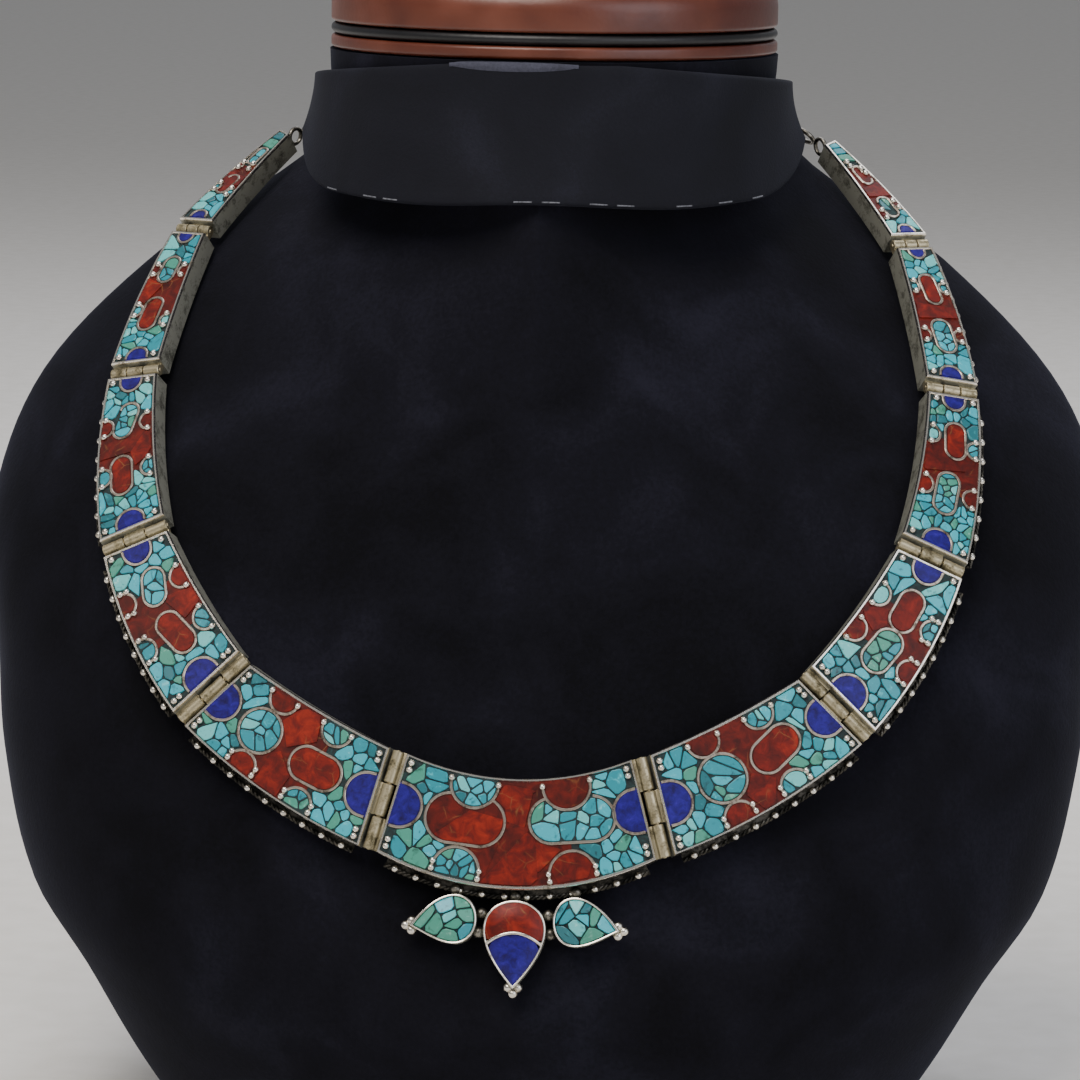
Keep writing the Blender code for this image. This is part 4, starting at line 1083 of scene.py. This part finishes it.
def moon_granules(box, far, moon):
    """Granules along the end rim, between the moon's feet and the corners."""
    half = width_at(box, far) / 2 - RIM_WIDTH
    room = half - moon.radius - RIBBON_WIDTH
    places = []
    for way in (-1, 1):
        for k in range(min(2, int(room / (INLAY_GRANULE_PITCH * INLAY_GRANULE)))):
            along = half - INLAY_GRANULE * (CORNER_GRANULE + INLAY_GRANULE_PITCH * k)
            places.append(moon.foot + moon.along * way * along + moon.inwards * INLAY_GRANULE * RIM_GRANULE)
    return places


def field_between(outline, box, u_from, u_to):
    """The part of a box's field between two lines across it."""
    part = outline
    for u, way in ((u_from, -1), (u_to, 1)):
        if 0 < u < 1:
            low = place_in_box(box, u, 0)
            across = place_in_box(box, u, 1) - low
            part = clipped(part, low, Vector((across.y, -across.x)).normalized() * way)
    return part


def make_inlay(box, side, name, body):
    """Chips, ribbons and granules of one box, in the right-hand side's own frame."""
    chance = random.Random(100 * box.number + side)
    pattern = PATTERNS[(SIDE_NAMES[side], box.number)]
    coral_first = side < 0 or box.number == 1
    moons = [(end_moon(box, far), far) for far in hinged_ends(box)]
    arches = []
    for inner, u, near in ((True, pattern.near_inner, True), (False, pattern.near_outer, True),
                           (True, pattern.far_inner, False), (False, pattern.far_outer, False)):
        arches.append((rim_arch(box, inner, u, pattern.radius), near, inner))
    kidneys = ((pattern.near_kidney, True), (pattern.far_kidney, False))
    granules = []
    for arch, near, inner in arches:
        granules += arch_granules(arch, 1 if inner or box.number > 3 else 2)
    for moon, far in moons:
        granules += moon_granules(box, far, moon)
    grow = RIBBON_WIDTH / 2 + RIBBON_GAP
    dots = [circle_round(place, INLAY_GRANULE + GRANULE_ROOM) for place in granules]
    moon_holes = [arch_outline(moon, grow) for moon, far in moons]
    arch_holes = [arch_outline(arch, grow) for arch, near, inner in arches]
    kidney_holes = [kidney_outline(box, kidney, grow) for kidney, near in kidneys]

    stones = bmesh.new()
    silver = bmesh.new()
    size = TURQUOISE_CHIP if box.number < 4 else SMALL_CHIP
    floor = box_outline(box, FIELD_INSET)
    field = box_outline(box, CHIP_INSET)
    holes = moon_holes + arch_holes + kidney_holes + dots
    split_near = (pattern.near_inner + pattern.near_outer) / 2
    split_far = (pattern.far_inner + pattern.far_outer) / 2
    band = field_between(floor, box, split_near, split_far)
    add_prism(stones, floor, BED_FOOT, FIELD_GROUT, TURQUOISE_GROUT_SLOT)
    add_prism(stones, band, CHIP_FOOT, CORAL_BAND_BED, CORAL_BED_SLOT)
    lay_turquoise(stones, field_between(field, box, 0, split_near), holes, chance, size)
    lay_coral(stones, field_between(field, box, split_near, split_far), holes, chance)
    lay_turquoise(stones, field_between(field, box, split_far, 1), holes, chance, size)

    for kidney, near in kidneys:
        outline = kidney_outline(box, kidney)
        fill_cell(stones, near == coral_first, outline, KIDNEY_BED, kidney_outline(box, kidney, -grow),
                  arch_holes + moon_holes + dots, chance, size * KIDNEY_CHIP_SHARE)
        add_kidney_ribbon(silver, outline, [arch_outline(arch) for arch, _, _ in arches])
    for arch, near, inner in arches:
        fill_cell(stones, near != coral_first, arch_outline(arch), ARCH_BED, arch_outline(arch, -grow, -0.08),
                  dots, chance, size * ARCH_CHIP_SHARE)
        add_sweep(silver, arch_outline(arch, 0.0, 0.0), RIBBON_SECTION, STRIP)
    for moon, far in moons:
        add_prism(stones, arch_outline(moon), CHIP_FOOT, ARCH_BED, LAPIS_SLOT)
        add_chip(stones, arch_outline(moon, -grow, -0.05), LAPIS_SLOT, chance, edge=0.08, tilt=0.008,
                 corner=0.02)
        add_sweep(silver, arch_outline(moon, 0.0, 0.0), RIBBON_SECTION, STRIP)
    for place in granules:
        add_ball(silver, (*place, GRANULE_SEAT), INLAY_GRANULE, BRIGHT)
    placed = on_side(BOX_FRAMES[box.number], side)
    object_from(stones, "stones_" + name, STONES, placed, body, [name], 24)
    object_from(silver, "ribbons_" + name, SILVERS, placed, body)


# Pendant trio, in the centre box's frame

Drop = namedtuple("Drop", "name length width bend x y turn")
PEAR = Drop("pear", PEAR_LENGTH, PEAR_WIDTH, 0.0, 0.0, -PEAR_DROP, 0)
PAISLEY_RIGHT = Drop("paisley_right", PAISLEY_LENGTH, PAISLEY_WIDTH, -PAISLEY_BEND,
                     PAISLEY_START, -PAISLEY_DROP, 90)
PAISLEY_LEFT = Drop("paisley_left", PAISLEY_LENGTH, PAISLEY_WIDTH, PAISLEY_BEND,
                    -PAISLEY_START, -PAISLEY_DROP, -90)


def drop_outline(drop, inset, points=56):
    """A drop with its round end at the origin and its tip at -y, drawn in by inset."""
    long = drop.length - TIP_INSET * inset
    half = (drop.width / 2 - inset) / WIDEST_SHARE
    outline = []
    for k in range(points):
        turn = 2 * math.pi * k / points
        along = (1 - math.cos(turn)) / 2
        across = half * math.sin(turn) * abs(math.cos(turn / 2))
        outline.append((across + drop.bend * along ** 4, -inset - long * along))
    return outline


def drop_frame(drop):
    return Matrix.Translation((drop.x, drop.y, 0)) @ turned(drop.turn, "Z")


def drop_shape(drop, inset):
    return [(drop_frame(drop) @ Vector((x, y, 0))).xy for x, y in drop_outline(drop, inset)]


def tip_granules(drop):
    """Three granules soldered round a drop's tip."""
    tip = Vector((drop.bend, -drop.length, -SETTING_SET_BACK - SETTING_DEPTH / 2))
    places = []
    for across, down in TIP_GRANULE_SHARES:
        places.append(drop_frame(drop) @ (tip + Vector((across, down, 0)) * TIP_GRANULE_PITCH))
    return places


def link_granules():
    """The granules that join the settings to the centre box and to each other."""
    levels = {"pear": PEAR_DROP, "paisley_top": PAISLEY_DROP - PAISLEY_WIDTH / 2, "paisley": PAISLEY_DROP}
    places = []
    for level, across, down in LINK_GRANULES:
        y = -levels[level] - down * LINK_GRANULE_RADIUS
        places.append(Vector((across * PEAR_WIDTH, y, -LINK_GRANULE_DEPTH)))
    return places


def add_settings(bm):
    """The three bezels with their floors, and the granules that join them."""
    top = -SETTING_SET_BACK
    section = ((0.15, top - SETTING_DEPTH), (0.0, top - SETTING_DEPTH + 0.2), (0.0, top - 0.2), (0.1, top),
               (0.24, top + 0.06), (0.4, top), (0.5, top - 0.2), (BEZEL_WALL, top - SETTING_RECESS))
    for drop in (PEAR, PAISLEY_RIGHT, PAISLEY_LEFT):
        rings = []
        for inset, height in section:
            rings.append([(x, y, height) for x, y in drop_shape(drop, inset)])
        add_loft(bm, rings, lambda band, index: SATIN if band < 2 else BRIGHT, OXIDISED)
        for place in tip_granules(drop):
            add_ball(bm, place, TIP_GRANULE_RADIUS, BRIGHT, 16, 10)
    for place in link_granules():
        add_ball(bm, place, LINK_GRANULE_RADIUS * LINK_GRANULE_SHOWN, DULL, 16, 10)


def dome_over(outline):
    """Height over a setting's edge: it rises from the outline and levels out DOME_REACH inside it."""
    def height(point):
        share = min(distance_to(outline, point) / DOME_REACH, 1.0)
        return STONE_DOME * (1 - (1 - share) ** 2)
    return height


def add_cabochon(bm, outline, middle, low, edge, dome, surface):
    """A domed stone whose rings shrink to its middle."""
    rings = [[(*point, low) for point in outline]]
    for share in (1.0, 0.94, 0.84, 0.7, 0.5, 0.28, 0.1):
        ring = [middle.lerp(point, share) for point in outline]
        rings.append([(*point, edge + dome(point)) for point in ring])
    add_loft(bm, rings, surface)


def parting_at(x):
    """Height of the silver arc that parts the pear's coral from its lapis, at a place across it."""
    ends = -PEAR_DROP - PEAR_LENGTH * PARTING_ENDS
    crown = -PEAR_DROP - PEAR_LENGTH * PARTING_CROWN
    return crown + (ends - crown) * (2 * x / PEAR_WIDTH) ** 2


def pear_part(outline, above):
    """The coral or the lapis part of the pear's outline, drawn in from the silver arc."""
    shift = (PARTING_WIRE + PARTING_GAP) * (1 if above else -1)
    half = len(outline) // 2
    ordered = outline[half:] + outline[:half] if above else outline
    kept = [point for point in ordered if (point.y > parting_at(point.x) + shift) == above]
    first, last = kept[0].x, kept[-1].x
    for k in range(1, 16):
        x = last + (first - last) * k / 16
        kept.append(Vector((x, parting_at(x) + shift)))
    return kept


def make_drop_stones():
    placed = BOX_FRAMES[1]
    low = -SETTING_SET_BACK - SETTING_RECESS
    edge = -SETTING_SET_BACK - STONE_SINK
    for drop, side, shares in ((PAISLEY_RIGHT, 1, TURQUOISE_SHARES), (PAISLEY_LEFT, -1, GREENISH_SHARES)):
        outline = drop_shape(drop, STONE_INSET)
        dome = dome_over(outline)
        middle = Vector((drop.x + side * drop.length * 0.3, drop.y))
        bm = bmesh.new()
        add_cabochon(bm, outline, middle, low, edge - GROUT_SINK, dome, TURQUOISE_GROUT_SLOT)
        lay_turquoise(bm, drop_shape(drop, STONE_INSET + 0.1), [], random.Random(31 + side), PAISLEY_CHIP,
                      shares, foot=low, top=edge, dome=dome)
        object_from(bm, "chips_" + drop.name, STONES, placed, "root", ["turquoise_" + drop.name], 30)
    outline = drop_shape(PEAR, STONE_INSET)
    dome = dome_over(outline)
    for name, above, down, surface in (("coral_pear_top", True, 0.2, CORALS[1]),
                                       ("lapis_pear_tip", False, 0.66, LAPIS)):
        bm = bmesh.new()
        middle = Vector((0, -PEAR_DROP - PEAR_LENGTH * down))
        add_cabochon(bm, pear_part(outline, above), middle, low, edge, dome, 0)
        object_from(bm, "ground_" + name, [surface], placed, "root", [name], 60)
    points = []
    for k in range(33):
        x = PEAR_WIDTH * 0.43 * (k / 16 - 1)
        place = Vector((x, parting_at(x)))
        points.append(Vector((*place, edge + (dome(place) if within(outline, place) else 0))))
    bm = bmesh.new()
    add_wire(bm, points, PARTING_WIRE, 10)
    object_from(bm, "parting_wire_pear", [RIM_SILVER], placed)


# Stand

Section = namedtuple("Section", "height half_width front back middle squareness")


def chest_front(height):
    """How far forward the chest may come: just behind the plane of the centre box's back."""
    lean = math.radians(COLLAR_LEAN)
    return (height - COLLAR_HEIGHT) * math.tan(lean) + (BOX_DEPTH + STAND_CLEARANCE) / math.cos(lean)


# How the stand passes behind each hinge: the squareness of its outline, its widest line as a share of the
# way from the chest to the back, its back as a share of STAND_BACK, and the room that the flat boxes
# between hinges need, in stand clearances
Backing = namedtuple("Backing", "squareness middle back room")
BACKINGS = {
    2: Backing(2.3, 0.54, 0.993, 1.1),
    3: Backing(1.85, 0.54, 1.0, 1.55),
    4: Backing(1.4, 0.58, 1.0, 1.55),
    5: Backing(1.2, 0.62, 1.0, 1.35),
    6: Backing(1.25, 0.68, 0.978, 1.8),
}

# The stand below the collar: height as a share of COLLAR_HEIGHT, half width as one of STAND_HALF_WIDTH,
# and how far its front lies behind the chest's plane, its back and its widest line as shares of STAND_BACK
Row = namedtuple("Row", "height half_width tuck back middle squareness")
LOWER_ROWS = (
    Row(0.0, 0.642, 0.205, 0.84, 0.478, 2.0),
    Row(0.02, 0.67, 0.18, 0.862, 0.478, 2.0),
    Row(0.18, 0.752, 0.096, 0.90, 0.486, 2.0),
    Row(0.40, 0.844, 0.0145, 0.935, 0.507, 2.1),
    Row(0.62, 0.945, 0.0, 0.957, 0.536, 2.3),
    Row(0.95, 1.0, 0.0, 0.978, 0.551, 2.4),
)


def hinge_section(number):
    """A section whose outline passes behind a hinge of the collar, square to the mean of its two boxes."""
    backing = BACKINGS[number]
    fold = SIDE_BOXES[number - 1].fold if number <= len(SIDE_BOXES) else 0
    frame_there = HINGE_FRAMES[number] @ turned(fold / 2, "Y")
    point = frame_there @ Vector((0, 0, PIN_DEPTH - BOX_DEPTH - STAND_CLEARANCE * (1 + backing.room)))
    front = chest_front(point.z)
    back = STAND_BACK * backing.back
    middle = front + (back - front) * backing.middle
    depth = middle - front if point.y < middle else back - middle
    share = (abs(middle - point.y) / depth) ** backing.squareness
    half_width = point.x / (1 - share) ** (1 / backing.squareness)
    return Section(point.z, half_width, front, back, middle, backing.squareness)


def stand_sections():
    rows = []
    for row in LOWER_ROWS:
        height = COLLAR_HEIGHT * row.height
        front = chest_front(height) + STAND_BACK * row.tuck
        rows.append(Section(height, STAND_HALF_WIDTH * row.half_width, front, STAND_BACK * row.back,
                            STAND_BACK * row.middle, row.squareness))
    rows += [hinge_section(number) for number in BACKINGS]
    for height in (NECK_TOP - NECK_LENGTH, NECK_TOP):
        rows.append(Section(height, NECK_RADIUS, NECK_CENTRE - NECK_RADIUS, NECK_BACK, NECK_CENTRE, 2.0))
    return rows


def smooth_between(rows, height):
    """Every column of the sections at a height, on a curve through the rows."""
    index = max(k for k in range(len(rows) - 1) if rows[k].height <= height)
    one, two = rows[index], rows[index + 1]
    before = rows[max(index - 1, 0)]
    after = rows[min(index + 2, len(rows) - 1)]
    span = two.height - one.height
    share = (height - one.height) / span
    values = []
    for column in range(len(one)):
        slope_one = (two[column] - before[column]) / (two.height - before.height) * span
        slope_two = (after[column] - one[column]) / (after.height - one.height) * span
        cubed, squared = share ** 3, share ** 2
        value = (2 * cubed - 3 * squared + 1) * one[column] + (3 * squared - 2 * cubed) * two[column]
        value += (cubed - 2 * squared + share) * slope_one + (cubed - squared) * slope_two
        values.append(value)
    return Section(*values)


def section_point(section, angle, stand_off=0.0):
    """A point of the outline; angle 0 is the right, 90 degrees the back and -90 the front."""
    power = 2 / section.squareness
    cosine, sine = math.cos(angle), math.sin(angle)
    depth = section.back - section.middle if sine > 0 else section.middle - section.front
    x = (section.half_width + stand_off) * math.copysign(abs(cosine) ** power, cosine)
    y = section.middle + (depth + stand_off) * math.copysign(abs(sine) ** power, sine)
    return Vector((x, y, section.height))


def make_bust():
    rows = stand_sections()
    heights = []
    for one, two in zip(rows, rows[1:]):
        steps = max(1, round((two.height - one.height) / RING_SPACING))
        heights += [one.height + (two.height - one.height) * k / steps for k in range(steps)]
    heights.append(rows[-1].height - 1e-6)
    rings = []
    for height in heights:
        section = smooth_between(rows, height)
        rings.append([section_point(section, angle) for angle in turns(RING_POINTS)])
    make_loft("velvet_covered_bust", rings, VELVET, replaces=["velvet_bust"])


def make_turned(name, node, surface, profile, height):
    """A piece turned round the neck's axis from its profile of radius and height."""
    rings = []
    for radius, z in profile:
        rings.append([(radius * math.cos(angle), NECK_CENTRE + radius * math.sin(angle), height + z)
                      for angle in turns(CAP_SIDES)])
    make_loft(name, rings, surface, replaces=[node])


def quarter(centre, height, radius, rise, steps=8):
    """Points from the crown of a rounded edge down to its side."""
    angles = [math.pi / 2 * (1 - k / steps) for k in range(steps + 1)]
    return [(centre + radius * math.cos(angle), height + rise * math.sin(angle)) for angle in angles]


def make_cap():
    outer = NECK_RADIUS + CAP_OVERHANG
    low = NECK_TOP + SEAT_GAP
    rounding = CAP_RIM_ROUNDING
    upper = quarter(outer - rounding, CAP_RIM_HEIGHT - rounding, rounding, rounding)
    lower = quarter(outer - rounding, rounding, rounding, -rounding)[::-1]
    make_turned("hide_lower_rim", "cap_lower_rim", CAP_HIDE, upper + lower, low)
    low += CAP_RIM_HEIGHT + SEAT_GAP
    bulge = PIPING_HEIGHT / 2
    upper = quarter(outer - bulge, bulge, bulge, bulge)
    lower = quarter(outer - bulge, bulge, bulge, -bulge)[-2::-1]
    make_turned("hide_piping", "cap_piping", PIPING_HIDE, upper + lower, low)
    low += PIPING_HEIGHT + SEAT_GAP
    shoulder = CAP_CROWN_HEIGHT - CAP_CROWN_ROUNDING
    crown = [(outer * 0.4, CAP_CROWN_HEIGHT)]
    crown += quarter(outer - CAP_CROWN_ROUNDING, shoulder, CAP_CROWN_ROUNDING, CAP_CROWN_ROUNDING * 0.85,
                     16)
    crown += quarter(outer - rounding, rounding, rounding, -rounding)[::-1]
    make_turned("hide_crown", "leather_cap", CAP_HIDE, crown, low)


def flap_place(across, down, stand_off):
    """A place of the cloth strap: across runs from -1 to 1 round the neck's front, down from 0 to 1."""
    angle = math.radians(-90 + FLAP_HALF_TURN * across)
    corner = max(0.0, abs(across) - FLAP_CORNER_START) / (1 - FLAP_CORNER_START)
    slope = max(0.0, abs(across) - FLAP_PLATEAU) / (1 - FLAP_PLATEAU)
    top = NECK_TOP - FLAP_HEIGHT * (0.017 + 0.167 * slope)
    bottom = NECK_TOP - FLAP_HEIGHT * (1 - 0.4 * corner ** 2 - 0.017 * math.cos(9 * across))
    creases = 0.25 * (1 + math.sin(11 * across + 2.5 * down)) * down
    radius = NECK_RADIUS + FLAP_STAND_OFF + FLAP_FLARE * (down ** 2 + 0.3 * corner) + stand_off + creases
    height = top + (bottom - top) * down
    return Vector((radius * math.cos(angle), NECK_CENTRE + radius * math.sin(angle), height))


def make_flap():
    """The cloth strap round the front of the neck, with rounded edges."""
    half = FLAP_THICKNESS / 2
    edge_share = half / FLAP_HEIGHT
    section = []
    for k in range(FLAP_ROWS + 1):
        section.append((edge_share + (1 - 2 * edge_share) * k / FLAP_ROWS, half))
    for k in range(1, 6):
        angle = math.pi * k / 6
        section.append((1 - edge_share + edge_share * math.sin(angle), half * math.cos(angle)))
    section += [(down, -half) for down, _ in section[FLAP_ROWS::-1]]
    for k in range(1, 6):
        angle = math.pi * k / 6
        section.append((edge_share - edge_share * math.sin(angle), -half * math.cos(angle)))
    rings = []
    for k in range(FLAP_STATIONS + 1):
        across = 2 * k / FLAP_STATIONS - 1
        rings.append([flap_place(across, down, stand_off) for down, stand_off in section])
    make_loft("flocked_strap", rings, STRAP_CLOTH, replaces=["neck_flap"], smooth_angle=60)


def make_stitches():
    """The stitches that show along the strap's hem."""
    bm = bmesh.new()
    for start in STITCHES:
        points = []
        for step in range(5):
            points.append(flap_place(start + STITCH_LENGTH * step / 4, STITCH_LINE, FLAP_THICKNESS / 2))
        add_wire(bm, points, STITCH_RADIUS, 6)
    object_from(bm, "hem_stitches", [THREAD])


def make_fold():
    """The strap's upper edge where it is folded back, in a pale cloth that is painted sheen: the highlight of
    light grazing the fold.
    """
    rings = []
    for k in range(FOLD_STEPS + 1):
        across = FOLD_SPAN[0] + (FOLD_SPAN[1] - FOLD_SPAN[0]) * k / FOLD_STEPS
        swell = max(0.1, math.sin(math.pi * k / FOLD_STEPS)) ** 0.4
        low = FOLD_DEPTH * swell
        section = ((-0.3 * low, -1.4), (-0.4 * low, 0.0), (0.0, 0.3), (low / 2, 0.35), (low, 0.05),
                   (low, -0.4))
        rings.append([flap_place(across, down, FLAP_THICKNESS / 2 + rise * swell) for down, rise in section])
    # the fold's pale cloth is painted sheen along its top edge
    make_loft("strap_fold_painted_sheen", rings, PAINTED_SHEEN_CLOTH, smooth_angle=60)


# Back chain, lying round the back of the neck

def route_point(share, start, rows):
    """The chain's middle line, from the end eye at share 0 to the middle of the back at share 1."""
    height = start.z + (NECK_TOP - CHAIN_BACK_DROP - start.z) * math.sin(share * math.pi / 2)
    section = smooth_between(rows, height)
    first = smooth_between(rows, start.z)
    depth = first.back - first.middle + CHAIN_STAND_OFF
    sine = ((start.y - first.middle) / depth) ** (first.squareness / 2)
    first_angle = math.asin(sine)
    angle = first_angle + (math.pi / 2 - first_angle) * share
    shift = start - section_point(first, first_angle, CHAIN_STAND_OFF)
    return section_point(section, angle, CHAIN_STAND_OFF) + shift * (1 - share) ** 2


def chain_route():
    box = SIDE_BOXES[-1]
    eye_end = box_length(box) / 2 - HINGE_GAP / 2 + 2 * END_EYE_RADIUS + END_EYE_WIRE
    start = BOX_FRAMES[6] @ Vector((eye_end + END_CLEARANCE, 0, -BOX_DEPTH / 2))
    rows = stand_sections()
    return [route_point(k / CHAIN_STEPS, start, rows) for k in range(CHAIN_STEPS + 1)]


def at_length(route, lengths, wanted):
    step = max(k for k in range(len(lengths) - 1) if lengths[k] <= wanted)
    share = (wanted - lengths[step]) / (lengths[step + 1] - lengths[step])
    return route[step].lerp(route[step + 1], share), (route[step + 1] - route[step]).normalized()


def link_frame(middle, along, turn):
    outward = Vector((middle.x, middle.y - NECK_CENTRE, 0)).normalized()
    upward = outward.cross(along).normalized()
    outward = along.cross(upward).normalized()
    placed = Matrix((along, upward, outward)).transposed().to_4x4()
    placed.translation = middle
    return placed @ turned(turn, "X")


def make_back_chain():
    route = chain_route()
    lengths = [0.0]
    for one, two in zip(route, route[1:]):
        lengths.append(lengths[-1] + (two - one).length)
    last_reach = CLASP_LENGTH / 2 - 2 * CLASP_WIRE - 2 * LINK_WIRE - CLASP_PLAY
    run = lengths[-1] - last_reach
    count = round(run / (LINK_LENGTH - 4 * LINK_WIRE))
    pitch = (run - 4 * LINK_WIRE) / count
    length = pitch + 4 * LINK_WIRE - LINK_OVERLAP
    for side, word in SIDE_NAMES.items():
        bm = bmesh.new()
        for index in range(count):
            middle, along = at_length(route, lengths, length / 2 + pitch * index)
            add_link(bm, link_frame(middle, along, LINK_TWIST if index % 2 else -LINK_TWIST), length,
                     LINK_WIDTH, LINK_WIRE)
        object_from(bm, "links_" + word, SILVERS, on_side(Matrix.Identity(4), side),
                    replaces=["back_chain_" + word])
    bm = bmesh.new()
    turn = LINK_TWIST if count % 2 else -LINK_TWIST
    add_link(bm, link_frame(route[-1], Vector((-1, 0, 0)), turn), CLASP_LENGTH, CLASP_WIDTH, CLASP_WIRE)
    object_from(bm, "oval_ring_clasp", SILVERS, replaces=["ring_clasp"])


# Studio

def make_floor():
    rings = []
    for height in (-FLOOR_THICKNESS, 0.0):
        rings.append([(FLOOR_RADIUS * math.cos(angle), FLOOR_RADIUS * math.sin(angle), height)
                      for angle in turns(FLOOR_SIDES)])
    floor = make_loft("studio_floor", rings, FLOOR_PAINT)


def make_studio():
    """Square soft lights that face the collar, and even light from all round."""
    for light in LIGHTS:
        lamp = bpy.data.lights.new(light.name, "AREA")
        lamp.size = light.width
        lamp.energy = light.power
        lamp.color = linear(light.colour)[:3]
        made = bpy.data.objects.new(light.name, lamp)
        made.location = light.place
        made.rotation_euler = (Vector(light.place) - CAMERA_AIM * MM).to_track_quat("Z", "Y").to_euler()
        bpy.context.scene.collection.objects.link(made)
    world = bpy.data.worlds.new("studio_air")
    bpy.context.scene.world = world
    world.use_nodes = True
    background = world.node_tree.nodes["Background"]
    background.inputs["Color"].default_value = linear(AIR_COLOUR)
    background.inputs["Strength"].default_value = AIR_STRENGTH


def make_camera():
    turn, rise, roll = (math.radians(angle) for angle in (CAMERA_TURN, CAMERA_RISE, CAMERA_ROLL))
    back = Vector((math.sin(turn) * math.cos(rise), -math.cos(turn) * math.cos(rise), math.sin(rise)))
    right = (-back).cross(Vector((0, 0, 1))).normalized()
    up = back.cross(right)
    rolled_right = right * math.cos(roll) + up * math.sin(roll)
    rolled_up = up * math.cos(roll) - right * math.sin(roll)
    camera = bpy.data.cameras.new("studio_camera")
    camera.lens = LENS
    camera.clip_end = 40.0
    made = bpy.data.objects.new("studio_camera", camera)
    made.matrix_world = Matrix((rolled_right, rolled_up, back)).transposed().to_4x4()
    made.location = (CAMERA_AIM + back * CAMERA_DISTANCE) * MM
    bpy.context.scene.collection.objects.link(made)
    bpy.context.scene.camera = made


def make_collar():
    make_tray(CENTRE_BOX, 1, "tray_centre", "root")
    make_inlay(CENTRE_BOX, 1, "inlay_centre", "root")
    make_drop_stones()
    for side, word in SIDE_NAMES.items():
        before = "root"
        for box in SIDE_BOXES:
            body = f"{word}_{box.number}"
            make_tray(box, side, "tray_" + body, body)
            make_inlay(box, side, "inlay_" + body, body)
            make_pin(box.number - 1, side, before)
            before = body


make_camera()
make_collar()
make_back_chain()
make_bust()
make_flap()
make_stitches()
make_fold()
make_cap()
make_floor()
make_studio()
